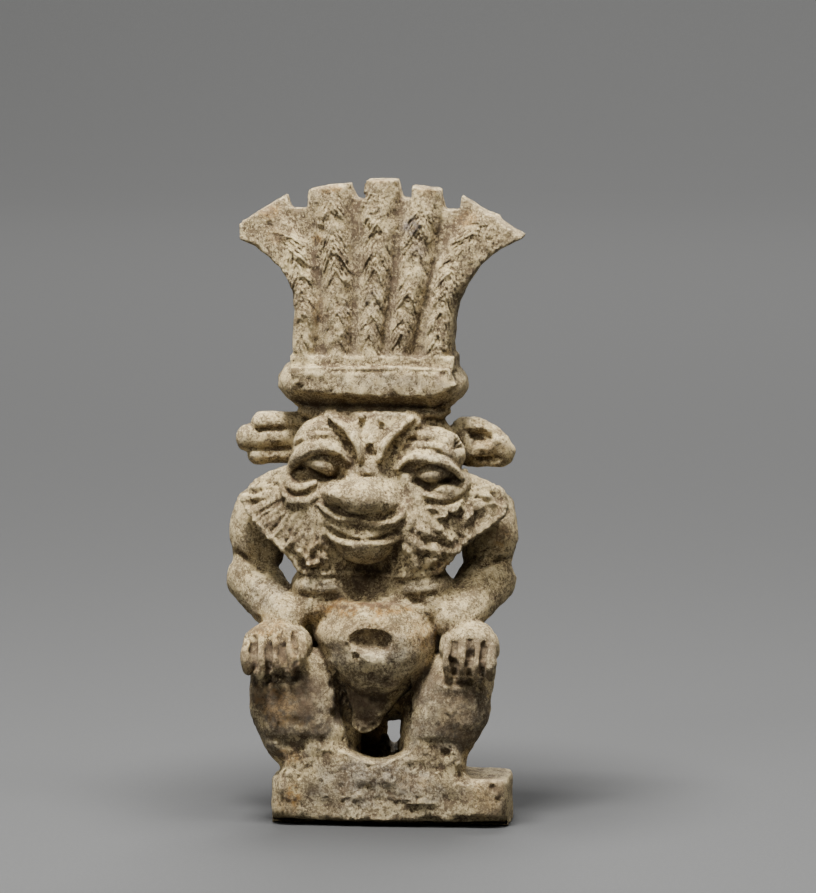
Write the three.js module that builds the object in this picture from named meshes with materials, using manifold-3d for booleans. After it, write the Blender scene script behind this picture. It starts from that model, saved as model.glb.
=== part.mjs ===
// A small carved figure of a squatting dwarf god with a lion's face, ears and mane, and a tall crown of
// five plumes. It is one piece of stone. Millimetres, +Z up, the face looks along -Y, and the origin is
// under the plinth, on the middle line of the body.

import * as THREE from "three";
import { mergeVertices } from "three/addons/utils/BufferGeometryUtils.js";
import Module from "manifold-3d";

const wasm = await Module();
wasm.setup();

// Driving dimensions
const plinthHeight = 3.0;
const plinthLeft = 6.1; // from the body's middle line to the plinth's end, on the viewer's left
const plinthRight = 8.7; // the same on the right, where the plinth runs out further
const plinthFront = 4.9;
const plinthBack = 4.8;
const plinthCorner = 1.3;
const plinthLift = 0.5; // the worn front edge stands off the ground by this
const shortEndWidth = 3.4; // the plinth's right end is this long
const shortEndDepth = 6.3; // and only this deep
const bodyHeight = 23.0; // from the plinth's top to the underside of the cornice
const corniceHeight = 2.55;
const corniceHalfWidth = 5.95;
const corniceHalfDepth = 4.4;
const corniceSquareness = 2.8; // 2 is an oval plan, and more is squarer
const corniceFacet = 3.35; // the flat front facet, from the cornice's middle line forward
const corniceBack = 0.3; // the cornice sits this far behind the body's middle plane
const facetRelief = 0.12; // the squared front of the cornice stands proud of the facet by this
const filletHeight = 0.6;
const filletOverhang = 0.35;
const crownHeight = 10.9; // from the fillet's top to the tip of the middle plume
const crownFoot = 9.9;
const crownThickness = 3.3;
const crownTopThickness = 2.2;
const crownSpreadLeft = 8.55; // from the crown's middle line to the blunt tip
const crownSpreadRight = 9.1; // the same to the pointed tip
const crownShift = 0.3; // the crown sits this far to the viewer's right
const crownForward = 0.7;
const plumeRelief = 0.4;
const plumeRoot = 0.15;
const notchDepth = 1.2;
const navelWidth = 3.0;
const navelHeight = 1.75;
const navelDepth = 1.2;
const corniceRoot = 1.2; // the cornice runs down into the head by this
const crownRoot = 0.25; // and the crown and its fillet into the cornice by this

// The body's carving is laid out on a grid of this many squares from the plinth's top to the cornice, so
// its places and sizes below are in squares, and it grows with bodyHeight.
const gridSquares = 23;
const grow = bodyHeight / gridSquares;

// Edges shorter and triangles flatter than these are slivers along a seam.
const sliverLength = 0.04;
const sliverHeight = 0.004;
const sliverPasses = 5;

const FRONT = new THREE.Vector3(0, -1, 0);
const LEFT = -1;
const RIGHT = 1;
const upright = [0, 0, 0];

// A point of the body's carving, with z measured from the plinth's top.
function at(x, y, z) {
  return new THREE.Vector3(x * grow, y * grow, plinthHeight + z * grow);
}

function scaled(sizes) {
  return sizes.map((size) => size * grow);
}

// A closed three.js geometry as a solid that can be joined and cut.
function solid(geometry) {
  const bare = geometry.index ? geometry.toNonIndexed() : geometry.clone();
  bare.deleteAttribute("normal");
  bare.deleteAttribute("uv");
  const merged = mergeVertices(bare, 1e-4);
  return new wasm.Manifold(
    new wasm.Mesh({
      numProp: 3,
      vertProperties: new Float32Array(merged.attributes.position.array),
      triVerts: new Uint32Array(merged.index.array),
    }),
  );
}

function join(pieces) {
  return pieces.reduce((whole, piece) => whole.add(piece));
}

// An egg of the given half sizes, turned about X, Y and Z in degrees.
function egg(centre, halfSizes, turn = upright, around = 12, rows = 7) {
  const geometry = new THREE.SphereGeometry(1, around, rows);
  geometry.rotateX(Math.PI / 2);
  geometry.scale(...scaled(halfSizes));
  const angles = turn.map((angle) => THREE.MathUtils.degToRad(angle));
  const turned = new THREE.Euler(...angles);
  geometry.applyMatrix4(new THREE.Matrix4().makeRotationFromEuler(turned));
  geometry.translate(centre.x, centre.y, centre.z);
  return solid(geometry);
}

// The value at a share from 0 to 1 of the way along a list of evenly spaced values.
function along(values, share) {
  if (values.length === 1) return values[0];
  const place = share * (values.length - 1);
  const before = Math.min(Math.floor(place), values.length - 2);
  return THREE.MathUtils.lerp(values[before], values[before + 1], place - before);
}

// A roll of clay: a sphere drawn out along a smooth path of [x, y, z] points, with a list of half widths
// and of half depths along it, and round ends. Depth runs towards the front.
function roll(path, widths, depths, { around = 8, steps = 4, caps = 2 } = {}) {
  const curve = new THREE.CatmullRomCurve3(path.map((point) => at(...point)));
  const rows = steps + 2 * caps;
  const geometry = new THREE.SphereGeometry(1, around, rows);
  const position = geometry.attributes.position;
  for (let row = 0; row <= rows; row++) {
    const share = THREE.MathUtils.clamp((row - caps) / steps, 0, 1);
    const beyond = row < caps ? row - caps : Math.max(0, row - caps - steps);
    const capAngle = (beyond / caps) * (Math.PI / 2);
    const width = along(widths, share) * grow;
    const depth = along(depths, share) * grow;
    const tangent = curve.getTangent(share);
    const side = new THREE.Vector3().crossVectors(tangent, FRONT).normalize();
    const front = new THREE.Vector3().crossVectors(tangent, side).normalize();
    const centre = curve.getPoint(share);
    centre.addScaledVector(tangent, Math.sin(capAngle) * Math.min(width, depth));
    for (let column = 0; column <= around; column++) {
      const angle = (column / around) * 2 * Math.PI;
      const point = centre.clone();
      point.addScaledVector(side, -Math.cos(angle) * Math.cos(capAngle) * width);
      point.addScaledVector(front, Math.sin(angle) * Math.cos(capAngle) * depth);
      position.setXYZ(row * (around + 1) + column, point.x, point.y, point.z);
    }
  }
  return solid(geometry);
}

// A thin roll for lips, folds, fingers and locks.
function ridge(path, halfWidth, halfDepth = halfWidth, steps = 4) {
  const widths = [halfWidth * 0.75, halfWidth, halfWidth * 0.75];
  return roll(path, widths, [halfDepth], { around: 6, steps, caps: 1 });
}

function box(xFrom, xTo, yFrom, yTo, zFrom, zTo) {
  const geometry = new THREE.BoxGeometry(xTo - xFrom, yTo - yFrom, zTo - zFrom);
  geometry.translate((xFrom + xTo) / 2, (yFrom + yTo) / 2, (zFrom + zTo) / 2);
  return solid(geometry);
}

// The plinth, low and worn, with a shallower right end.
function plinth() {
  const shape = new THREE.Shape();
  const r = plinthCorner;
  const step = plinthRight - shortEndWidth;
  const shortBack = -plinthFront + shortEndDepth;
  shape.moveTo(-plinthLeft + r, -plinthFront);
  shape.lineTo(plinthRight - r, -plinthFront);
  shape.quadraticCurveTo(plinthRight, -plinthFront, plinthRight, -plinthFront + r);
  shape.lineTo(plinthRight, shortBack - r);
  shape.quadraticCurveTo(plinthRight, shortBack, plinthRight - r, shortBack);
  shape.lineTo(step, shortBack);
  shape.lineTo(step - r, plinthBack - r);
  shape.quadraticCurveTo(step - r, plinthBack, step - 2 * r, plinthBack);
  shape.lineTo(-plinthLeft + 2 * r, plinthBack);
  shape.quadraticCurveTo(-plinthLeft, plinthBack, -plinthLeft, plinthBack - 2 * r);
  shape.lineTo(-plinthLeft, -plinthFront + r);
  shape.quadraticCurveTo(-plinthLeft, -plinthFront, -plinthLeft + r, -plinthFront);
  const geometry = new THREE.ExtrudeGeometry(shape, {
    depth: plinthHeight,
    bevelEnabled: false,
    curveSegments: 3,
  });
  return solid(geometry);
}

// A wedge under the front edge, which takes the plinth's front foot off the ground.
function wornFrontEdge() {
  const run = 3 * plinthLift;
  const shape = new THREE.Shape();
  shape.moveTo(-plinthFront - run, -run);
  shape.lineTo(-plinthFront + run, -run);
  shape.lineTo(-plinthFront + run, 0);
  shape.lineTo(-plinthFront - run, 2 * plinthLift);
  const length = 2 * (plinthLeft + plinthRight);
  const geometry = new THREE.ExtrudeGeometry(shape, { depth: length, bevelEnabled: false });
  geometry.rotateX(Math.PI / 2);
  geometry.rotateZ(Math.PI / 2);
  geometry.translate(-length / 2, 0, 0);
  return solid(geometry);
}

// Shins in front, thighs beside the belly, and haunches behind, all resting on the plinth. The feet have
// broken off in front and leave a rough mass across the plinth.
function legs() {
  const leftShin = [[-4.9, -3.4, 6.4], [-4.9, -3.6, 4.4], [-3.85, -3.7, 1.4], [-3.65, -3.6, -0.8]];
  const rightShin = [[5.9, -3.3, 6.4], [5.6, -3.5, 4.4], [4.6, -3.6, 1.9], [4.4, -3.6, -0.8]];
  const shinDepths = [1.9, 1.8, 1.4, 1.1];
  const leftThigh = [[-5.2, -2.6, 6.2], [-3.6, 2.0, 3.8]];
  const rightThigh = [[5.5, -2.4, 5.9], [3.8, 2.0, 3.8]];
  const brokenFeet = [[-4.1, -3.45, 0.2], [0.2, -3.35, -0.2], [4.9, -3.45, 0.2]];
  return join([
    roll(leftShin, [2.45, 2.6, 1.65, 1.8], shinDepths),
    roll(rightShin, [1.7, 2.25, 1.7, 1.9], shinDepths),
    roll(leftThigh, [2.4, 2.6], [2.4, 2.6], { steps: 1 }),
    roll(rightThigh, [2.3, 2.6], [2.3, 2.6], { steps: 1 }),
    egg(at(-3.8, 1.0, 0.9), [2.1, 3.3, 2.1], upright, 10, 6),
    egg(at(3.65, 1.0, 0.9), [2.1, 3.3, 2.1], upright, 10, 6),
    egg(at(0.6, 2.2, 0.2), [2.6, 1.7, 1.25], upright, 10, 6),
    roll(brokenFeet, [1.9, 1.5, 1.9], [1.5]),
  ]);
}

// The trunk, with the big belly hanging over the broken apron, and the lion's tail behind.
function trunk() {
  const back = [[0.1, 1.3, 5.0], [0.1, 1.4, 8.5], [0.1, 1.0, 12.5], [0, 0.9, 16.4]];
  const chest = [[0.25, -1.5, 13.2], [0.0, -1.3, 10.5]];
  const underBelly = [[0.5, -2.5, 8.4], [0.4, -2.9, 7.3], [0.15, -3.2, 6.3]];
  const apron = [[0.1, -3.2, 6.0], [-0.25, -3.8, 3.5]];
  const tail = [[-0.7, 3.0, 6.5], [-0.9, 3.4, 2.8], [-0.9, 3.3, -0.8]];
  return join([
    roll(back, [3.6, 4.2, 4.3, 5.9], [2.9, 3.2, 3.3, 2.6], { around: 12, steps: 3 }),
    roll(chest, [4.3, 3.85], [1.7, 1.9], { around: 10, steps: 2 }),
    egg(at(0.1, 1.0, 8.4), [5.6, 2.8, 2.8], upright, 14, 8),
    egg(at(0.38, -2.0, 9.05), [4.05, 4.3, 2.15], [6, 0, 0], 14, 8),
    roll(underBelly, [3.8, 3.0, 1.5], [3.7, 2.9, 1.6], { around: 12, steps: 3 }),
    roll(apron, [1.8, 1.0], [1.3, 0.8], { steps: 1 }),
    roll(tail, [1.5, 1.3, 1.5], [0.9, 0.8, 1.1], { steps: 3, caps: 1 }),
    egg(at(-2.6, -2.75, 12.0), [1.8, 1.45, 1.0], upright, 10, 6),
    egg(at(2.9, -2.75, 12.0), [1.7, 1.45, 0.95], upright, 10, 6),
  ]);
}

function navel() {
  const geometry = new THREE.SphereGeometry(1, 12, 8);
  geometry.rotateX(Math.PI / 2);
  geometry.scale(navelWidth / 2, navelDepth, navelHeight / 2);
  const centre = at(0.4, -6.45, 8.8);
  geometry.translate(centre.x, centre.y, centre.z);
  return solid(geometry);
}

// One arm: the upper arm hangs from the shoulder, and the forearm comes forward from elbow to knee.
function arm(shoulder, aboveElbow, elbow, wrist, thickness) {
  return join([
    roll([shoulder, aboveElbow], [1.75 * thickness, 1.7 * thickness], [1.6, 1.55], { steps: 2 }),
    roll([elbow, wrist], [1.75 * thickness, 1.5], [1.5, 1.3], { steps: 1 }),
  ]);
}

function arms() {
  return join([
    arm([-7.1, 1.0, 16.0], [-7.55, 0.7, 13.2], [-7.9, 0.3, 12.1], [-5.4, -2.9, 9.85], 1.05),
    arm([6.9, 1.0, 16.0], [7.1, 0.7, 13.3], [7.25, 0.3, 12.2], [5.35, -2.9, 9.9], 1.15),
  ]);
}

// One hand: its back over the knee, and the fingers, each given by its x, its knuckle and its end.
function hand([x, y, z], halfSizes, fingers) {
  const pieces = [egg(at(x, y, z), halfSizes, upright, 10, 6)];
  for (const [across, knuckle, end] of fingers) {
    const middle = (knuckle + end) / 2;
    const finger = [[across, y - 1.2, knuckle], [across, y - 1.8, middle], [across, y - 1.5, end]];
    pieces.push(ridge(finger, 0.45, 0.5, 2));
  }
  return join(pieces);
}

function hands() {
  const leftFingers = [[-7.3, 8.4, 6.9], [-6.5, 8.7, 6.5], [-5.6, 8.9, 6.4], [-4.3, 9.0, 6.6]];
  const rightFingers = [[5.1, 8.7, 6.8], [6.0, 8.8, 6.5], [6.9, 8.6, 6.4], [7.7, 8.3, 6.6]];
  return join([
    hand([-5.7, -3.7, 8.2], [2.25, 1.9, 1.65], leftFingers),
    hand([6.3, -3.5, 8.2], [1.95, 1.9, 1.7], rightFingers),
  ]);
}

// The mane: a broad ruff cut from a swelling shell, so that it falls back towards its rim.
const maneCentre = [0.1, 2.4, 15.4];
const maneSwell = [10.8, 7.3, 7.8];

function maneFront(x, z) {
  const across = (x - maneCentre[0]) / maneSwell[0];
  const up = (z - maneCentre[2]) / maneSwell[2];
  return maneCentre[1] - maneSwell[1] * Math.sqrt(1 - across ** 2 - up ** 2);
}

function mane() {
  const rim = [
    [-5.2, 19.2], [-7.4, 18.2], [-8.2, 17.2], [-8.0, 16.5], [-6.8, 15.2], [-5.5, 14.3], [-4.3, 12.6],
    [-2.6, 11.9], [3.8, 11.7], [5.1, 13.1], [6.0, 14.4], [8.4, 16.3], [8.5, 17.1], [7.4, 18.7],
    [5.6, 19.1],
  ];
  const corners = rim.map(([x, z]) => new THREE.Vector2(x * grow, plinthHeight + z * grow));
  const shape = new THREE.Shape(corners);
  const geometry = new THREE.ExtrudeGeometry(shape, { depth: 6 * grow, bevelEnabled: false });
  geometry.rotateX(Math.PI / 2);
  geometry.translate(0, -grow, 0);
  return solid(geometry).intersect(egg(at(...maneCentre), maneSwell, upright, 20, 12));
}

// Locks fan out over the mane from the cheeks and the jaw.
function locks() {
  const pieces = [];
  const count = 6;
  for (const side of [LEFT, RIGHT]) {
    for (let i = 0; i < count; i++) {
      const share = i / (count - 1);
      const angle = THREE.MathUtils.degToRad(5 - 68 * share);
      const reach = THREE.MathUtils.lerp(7.5, 5.1, Math.sin(share * Math.PI * 0.5));
      const path = [3.9, (3.9 + reach) / 2, reach].map((r) => {
        const x = side * Math.cos(angle) * r + 0.2;
        const z = 17.3 + Math.sin(angle) * r;
        return [x, maneFront(x, z) - 0.05, z];
      });
      pieces.push(ridge(path, 0.44, 0.42, 2));
    }
  }
  return join(pieces);
}

// The brow, lid and cheek folds round one eye, drawn towards the outer corner on the given side of the
// face. The right eye sits a little lower.
function eye(side, x, z) {
  const place = (outwards, y, up) => [x + side * outwards, y, z + up];
  const lidPath = [
    place(1.95, -3.1, 0.1),
    place(1.2, -4.0, 0.95),
    place(0.2, -4.35, 1.25),
    place(-0.8, -4.35, 1.0),
    place(-1.4, -4.2, 0.3),
  ];
  const browPath = [
    place(1.7, -2.9, 1.5),
    place(0.7, -3.6, 2.2),
    place(-0.3, -3.85, 2.25),
    place(-1.3, -3.9, 1.5),
  ];
  const cheekPath = [
    place(2.3, -2.9, 0.1),
    place(2.2, -3.4, -0.9),
    place(1.5, -3.9, -1.5),
    place(0.5, -4.3, -1.4),
  ];
  return {
    dome: egg(at(...place(0.1, -2.75, 1.0)), [1.95, 1.45, 1.75], upright, 12, 7),
    socket: egg(at(...place(0, -4.7, -0.25)), [1.5, 1.25, 0.72], upright, 10, 6),
    added: [
      egg(at(...place(0.05, -3.75, 0.0)), [0.85, 0.6, 0.42], upright, 10, 6),
      ridge(lidPath, 0.32, 0.4, 5),
      ridge(browPath, 0.28, 0.4, 4),
      ridge(cheekPath, 0.35, 0.45, 4),
    ],
  };
}

// Head, brows, eyes, nose and mouth. The middle line of the face lies a little to the viewer's left.
function head() {
  const eyes = [eye(LEFT, -2.85, 19.5), eye(RIGHT, 3.8, 18.9)];
  const mouthPath = [[-2.5, -4.8, 15.75], [-0.4, -6.0, 14.9], [1.8, -4.8, 15.5]];
  const upperLip = [
    [-2.9, -4.4, 16.7],
    [-1.9, -5.2, 15.9],
    [-0.4, -5.6, 15.5],
    [1.0, -5.3, 15.75],
    [2.0, -4.6, 16.3],
  ];
  const mass = join([
    egg(at(0.15, -0.4, 19.6), [5.35, 3.6, 4.3], upright, 16, 8),
    egg(at(-0.1, -2.5, 16.6), [3.7, 2.7, 3.3], upright, 12, 7),
    roll([[0.2, -1.9, 22.5], [0.0, -3.8, 19.5]], [2.6, 0.5], [1.4, 0.8], { steps: 1, caps: 1 }),
    roll([[-0.2, -4.0, 19.6], [-0.5, -4.6, 18.2]], [0.8, 1.3], [0.7, 0.8], { steps: 1, caps: 1 }),
    egg(at(-0.5, -4.8, 17.6), [2.4, 1.6, 0.95], [10, 5, 0], 12, 7),
    egg(at(-0.25, -4.35, 14.2), [1.95, 1.6, 1.1], upright, 12, 7),
    ...eyes.map((one) => one.dome),
  ]);
  const mouth = roll(mouthPath, [0.15, 0.3, 0.15], [0.6, 0.9, 0.6], { caps: 1 });
  const cut = mass.subtract(join([...eyes.map((one) => one.socket), mouth]));
  return join([
    cut,
    ...eyes.flatMap((one) => one.added),
    ridge([[-2.6, -3.5, 22.6], [-0.1, -4.5, 20.0]], 0.36, 0.5, 2),
    ridge([[2.9, -3.5, 22.4], [0.4, -4.5, 19.9]], 0.38, 0.5, 2),
    ridge(upperLip, 0.5, 0.65, 5),
    ridge([[-2.2, -4.7, 14.75], [-0.4, -5.7, 14.3], [1.4, -4.7, 14.75]], 0.36, 0.5, 4),
  ]);
}

// Round lion's ears: three lobes on the left, and a pointed hollow leaf on the right.
function ears() {
  const round = join([
    egg(at(-6.9, 0.2, 20.7), [1.95, 0.8, 1.6], upright, 12, 7),
    roll([[-4.8, 0.3, 20.7], [-6.6, 0.3, 20.7]], [1.4, 1.5], [0.8, 0.8], { steps: 1, caps: 1 }),
  ]);
  const grooves = [
    ridge([[-4.9, -0.75, 21.3], [-8.0, -0.55, 21.2]], 0.24, 0.5, 1),
    ridge([[-5.0, -0.8, 20.1], [-8.6, -0.35, 20.2]], 0.24, 0.5, 1),
  ];
  const leaf = join([
    egg(at(6.3, 0.3, 20.6), [1.9, 0.9, 1.7], [0, 15, 0], 12, 7),
    roll([[6.4, 0.2, 20.5], [8.55, 0.1, 20.05]], [1.35, 0.35], [0.85, 0.4], { steps: 1, caps: 1 }),
  ]);
  const hollow = egg(at(6.9, -0.75, 20.55), [1.2, 0.75, 0.75], [0, 20, 0], 10, 6);
  return join([round.subtract(join(grooves)), leaf.subtract(hollow)]);
}

// The cornice that carries the plumes, squarish in plan, with a flat facet in front.
function cornice() {
  const profile = [
    [0, -corniceRoot],
    [0.84, -corniceRoot],
    [0.85, 0.05],
    [0.93, 0.4],
    [1, 1.05],
    [0.99, 1.65],
    [0.92, 2.25],
    [0.86, corniceHeight],
    [0, corniceHeight],
  ].map(([r, z]) => new THREE.Vector2(r, z));
  const geometry = new THREE.LatheGeometry(profile, 24);
  geometry.rotateX(Math.PI / 2);
  const position = geometry.attributes.position;
  for (let i = 0; i < position.count; i++) {
    const angle = Math.atan2(position.getY(i), position.getX(i));
    const cosine = Math.abs(Math.cos(angle)) ** corniceSquareness;
    const sine = Math.abs(Math.sin(angle)) ** corniceSquareness;
    const square = (cosine + sine) ** (-1 / corniceSquareness);
    position.setX(i, position.getX(i) * square * corniceHalfWidth);
    position.setY(i, position.getY(i) * square * corniceHalfDepth);
  }
  const base = plinthHeight + bodyHeight;
  geometry.translate(0, corniceBack, base);
  const reach = 2 * corniceHalfWidth;
  const facetFront = corniceBack - corniceFacet;
  const facet = box(-reach, reach, facetFront - reach, facetFront, base - reach, base + reach);
  return solid(geometry).subtract(facet).add(squaredFront(facetFront - facetRelief, base));
}

// The squared front of the cornice: a low bar whose under edge sweeps up to the right.
function squaredFront(front, base) {
  const outline = [
    [-4.75, corniceHeight - 0.05],
    [-4.85, 1.15],
    [-2.0, 0.85],
    [1.0, 0.72],
    [4.0, 0.8],
    [5.55, 1.45],
    [5.1, corniceHeight - 0.05],
  ];
  const corners = outline.map(([x, z]) => new THREE.Vector2(x, base + z));
  const depth = corniceBack - front;
  const geometry = new THREE.ExtrudeGeometry(new THREE.Shape(corners), { depth, bevelEnabled: false });
  geometry.rotateX(Math.PI / 2);
  geometry.translate(0, corniceBack, 0);
  return solid(geometry);
}

const corniceTop = plinthHeight + bodyHeight + corniceHeight;
const crownBase = corniceTop + filletHeight;

function fillet() {
  const half = crownFoot / 2 + filletOverhang / 2;
  const front = -crownThickness / 2 - filletOverhang - crownForward;
  const back = crownThickness / 2 + filletOverhang - crownForward;
  return box(crownShift - half, crownShift + half, front, back, corniceTop - crownRoot, crownBase);
}

// The crown's outline, round its own middle line: a straight foot, flared sides, and flat-topped plumes
// with a narrow notch between each and the next. A tip is [left x, left z, right x, right z], with z
// measured down from the crown's top.
function crownShape() {
  const half = crownFoot / 2;
  const top = crownBase + crownHeight;
  const tips = [
    [-crownSpreadLeft, 2.75, -5.7, 0.95],
    [-4.2, 0.6, -1.7, 0.25],
    [-0.6, 0, 1.2, 0.0],
    [2.25, 0.35, 3.9, 0.6],
    [5.3, 0.95, crownSpreadRight, 3.5],
  ];
  const shape = new THREE.Shape();
  shape.moveTo(-half, corniceTop - crownRoot);
  shape.lineTo(-half, crownBase + 0.25 * crownHeight);
  shape.quadraticCurveTo(-half - 0.25, crownBase + 0.55 * crownHeight, -crownSpreadLeft, top - 3.7);
  tips.forEach(([leftX, leftZ, rightX, rightZ], i) => {
    shape.lineTo(leftX, top - leftZ);
    shape.lineTo(rightX, top - rightZ);
    if (i < tips.length - 1) {
      const notch = top - Math.min(rightZ, tips[i + 1][1]) - notchDepth;
      shape.lineTo(rightX + 0.3, notch);
      shape.lineTo(tips[i + 1][0] - 0.1, notch);
    }
  });
  const flare = crownBase + 0.55 * crownHeight;
  shape.quadraticCurveTo(half + 0.5, flare, half, crownBase + 0.2 * crownHeight);
  shape.lineTo(half, corniceTop - crownRoot);
  shape.closePath();
  return shape;
}

// Half the crown's thickness at a height, measured as a share of the crown from its foot.
function halfThickness(share) {
  return THREE.MathUtils.lerp(crownThickness, crownTopThickness, share) / 2;
}

// The ridge that stands along a plume on the front or the back, rooted a little under the face. Its path
// is [x, share of the crown].
function plumeRidge(path, width, face, around, steps) {
  const points = path.map(([x, share]) => {
    const y = face * (halfThickness(share) - plumeRoot) - crownForward;
    return new THREE.Vector3(x + crownShift, y, crownBase + share * crownHeight);
  });
  const curve = new THREE.CatmullRomCurve3(points);
  const geometry = new THREE.SphereGeometry(1, around, steps + 2);
  const position = geometry.attributes.position;
  for (let row = 0; row <= steps + 2; row++) {
    const share = THREE.MathUtils.clamp((row - 1) / steps, 0, 1);
    const size = row === 0 || row === steps + 2 ? 0 : 1;
    const centre = curve.getPoint(share);
    const tangent = curve.getTangent(share);
    centre.addScaledVector(tangent, row === 0 ? -0.2 : row === steps + 2 ? 0.4 : 0);
    const side = new THREE.Vector3().crossVectors(tangent, FRONT).normalize();
    for (let column = 0; column <= around; column++) {
      const angle = (column / around) * 2 * Math.PI;
      const point = centre.clone();
      point.addScaledVector(side, -Math.cos(angle) * size * width * (0.9 + 0.2 * share));
      point.addScaledVector(FRONT, -Math.sin(angle) * size * (plumeRelief + plumeRoot));
      position.setXYZ(row * (around + 1) + column, point.x, point.y, point.z);
    }
  }
  return solid(geometry);
}

function crown() {
  const outline = { depth: 2, bevelEnabled: false, curveSegments: 6 };
  const geometry = new THREE.ExtrudeGeometry(crownShape(), outline);
  geometry.rotateX(Math.PI / 2);
  geometry.translate(0, 1, 0);
  const position = geometry.attributes.position;
  for (let i = 0; i < position.count; i++) {
    const share = (position.getZ(i) - crownBase) / crownHeight;
    position.setX(i, position.getX(i) + crownShift);
    position.setY(i, position.getY(i) * halfThickness(share) - crownForward);
  }
  const plumes = [
    [[-4.1, -0.02], [-4.3, 0.35], [-5.25, 0.6], [-7.0, 0.77]],
    [[-2.1, -0.02], [-2.4, 0.45], [-2.95, 0.9]],
    [[-0.1, -0.02], [0.05, 0.45], [0.3, 0.93]],
    [[1.85, -0.02], [2.25, 0.45], [3.05, 0.89]],
    [[4.0, -0.02], [4.25, 0.35], [5.3, 0.6], [7.3, 0.77]],
  ];
  const front = plumes.map((path) => plumeRidge(path, 0.8, -1, 8, 4));
  const back = plumes.map((path) => plumeRidge(path, 0.75, 1, 6, 3));
  return join([solid(geometry), ...front, ...back]);
}

function figure() {
  const body = join([legs(), trunk(), arms(), hands(), mane(), locks(), head(), ears()]);
  const whole = join([body, cornice(), fillet(), crown()]).subtract(navel());
  const reach = 2 * bodyHeight;
  const ground = box(-reach, reach, -reach, reach, -reach, plinthHeight / 2);
  return join([whole.subtract(ground), plinth()]).subtract(wornFrontEdge());
}

// Brings together the two ends of each edge that is shorter than the given length.
function withoutShortEdges(points, faces, shortest) {
  const keeper = points.map((_, i) => i);
  const kept = (i) => (keeper[i] === i ? i : kept(keeper[i]));
  for (const face of faces) {
    for (let k = 0; k < 3; k++) {
      const a = kept(face[k]);
      const b = kept(face[(k + 1) % 3]);
      if (a !== b && points[a].distanceTo(points[b]) < shortest) keeper[b] = a;
    }
  }
  const moved = faces.map((face) => face.map(kept));
  const whole = moved.filter(([a, b, c]) => a !== b && b !== c && c !== a);
  // two triangles left back to back on the same three corners go as well
  const seen = new Map();
  whole.forEach((face, i) => {
    const key = [...face].sort((a, b) => a - b).join();
    if (seen.has(key)) {
      whole[seen.get(key)] = whole[i] = null;
      seen.delete(key);
    } else {
      seen.set(key, i);
    }
  });
  return whole.filter((face) => face);
}

// Turns the long edge of each triangle that is flatter than the given height, so that it runs from the
// triangle's own far corner to its neighbour's.
function withoutFlatTriangles(points, faces, flattest) {
  const owner = new Map();
  faces.forEach((face, i) => face.forEach((a, k) => owner.set(a + "," + face[(k + 1) % 3], i)));
  const turned = new Set();
  faces.forEach((face, i) => {
    const lengths = face.map((a, k) => points[a].distanceTo(points[face[(k + 1) % 3]]));
    const k = lengths.indexOf(Math.max(...lengths));
    const [a, b, c] = [face[k], face[(k + 1) % 3], face[(k + 2) % 3]];
    const across = new THREE.Vector3().subVectors(points[b], points[a]);
    const area = across.cross(new THREE.Vector3().subVectors(points[c], points[a])).length();
    const j = owner.get(b + "," + a);
    if (area / lengths[k] > flattest || turned.has(i) || turned.has(j)) return;
    const d = faces[j].find((corner) => corner !== a && corner !== b);
    if (d === c || owner.has(c + "," + d) || owner.has(d + "," + c)) return;
    faces[i] = [c, a, d];
    faces[j] = [d, b, c];
    turned.add(i).add(j);
    owner.set(c + "," + d, i).set(d + "," + c, j);
  });
  return faces;
}

// The finished solid as a three.js mesh, without the slivers that joins leave along their seams.
function meshOf(made, name, material) {
  const { numProp, numVert, vertProperties, triVerts } = made.getMesh();
  const points = [];
  for (let i = 0; i < numVert; i++) {
    points.push(new THREE.Vector3().fromArray(vertProperties, i * numProp));
  }
  let faces = [];
  for (let i = 0; i < triVerts.length; i += 3) {
    faces.push([triVerts[i], triVerts[i + 1], triVerts[i + 2]]);
  }
  for (let pass = 0; pass < sliverPasses; pass++) {
    faces = withoutShortEdges(points, faces, sliverLength);
    faces = withoutFlatTriangles(points, faces, sliverHeight);
  }
  const loose = new THREE.BufferGeometry();
  const corners = faces.flat().flatMap((corner) => points[corner].toArray());
  loose.setAttribute("position", new THREE.BufferAttribute(new Float32Array(corners), 3));
  const geometry = mergeVertices(loose, 1e-4);
  geometry.computeVertexNormals();
  const mesh = new THREE.Mesh(geometry, material);
  mesh.name = name;
  return mesh;
}

const stone = new THREE.MeshStandardMaterial({ color: 0xb3a283, roughness: 0.72, metalness: 0 });

const group = new THREE.Group();
group.add(meshOf(figure(), "bes_figure", stone));

export default group;
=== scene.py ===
# %% [markdown]
# # A small carved stone figure
# The real object is one piece of cream stone, about as high as a thumb: a squatting dwarf god with a lion's
# face, ears and mane, under a crown of five plumes. It could be sculpted by hand, or built from smooth
# shapes. It is built here in the carver's order: rough masses first, then the features, then the fine cuts
# and the wear, so that each step can be changed by itself.

# %% Load the frame and keep its size
import math

import bpy
import numpy as np
from mathutils import Matrix, Vector


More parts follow.
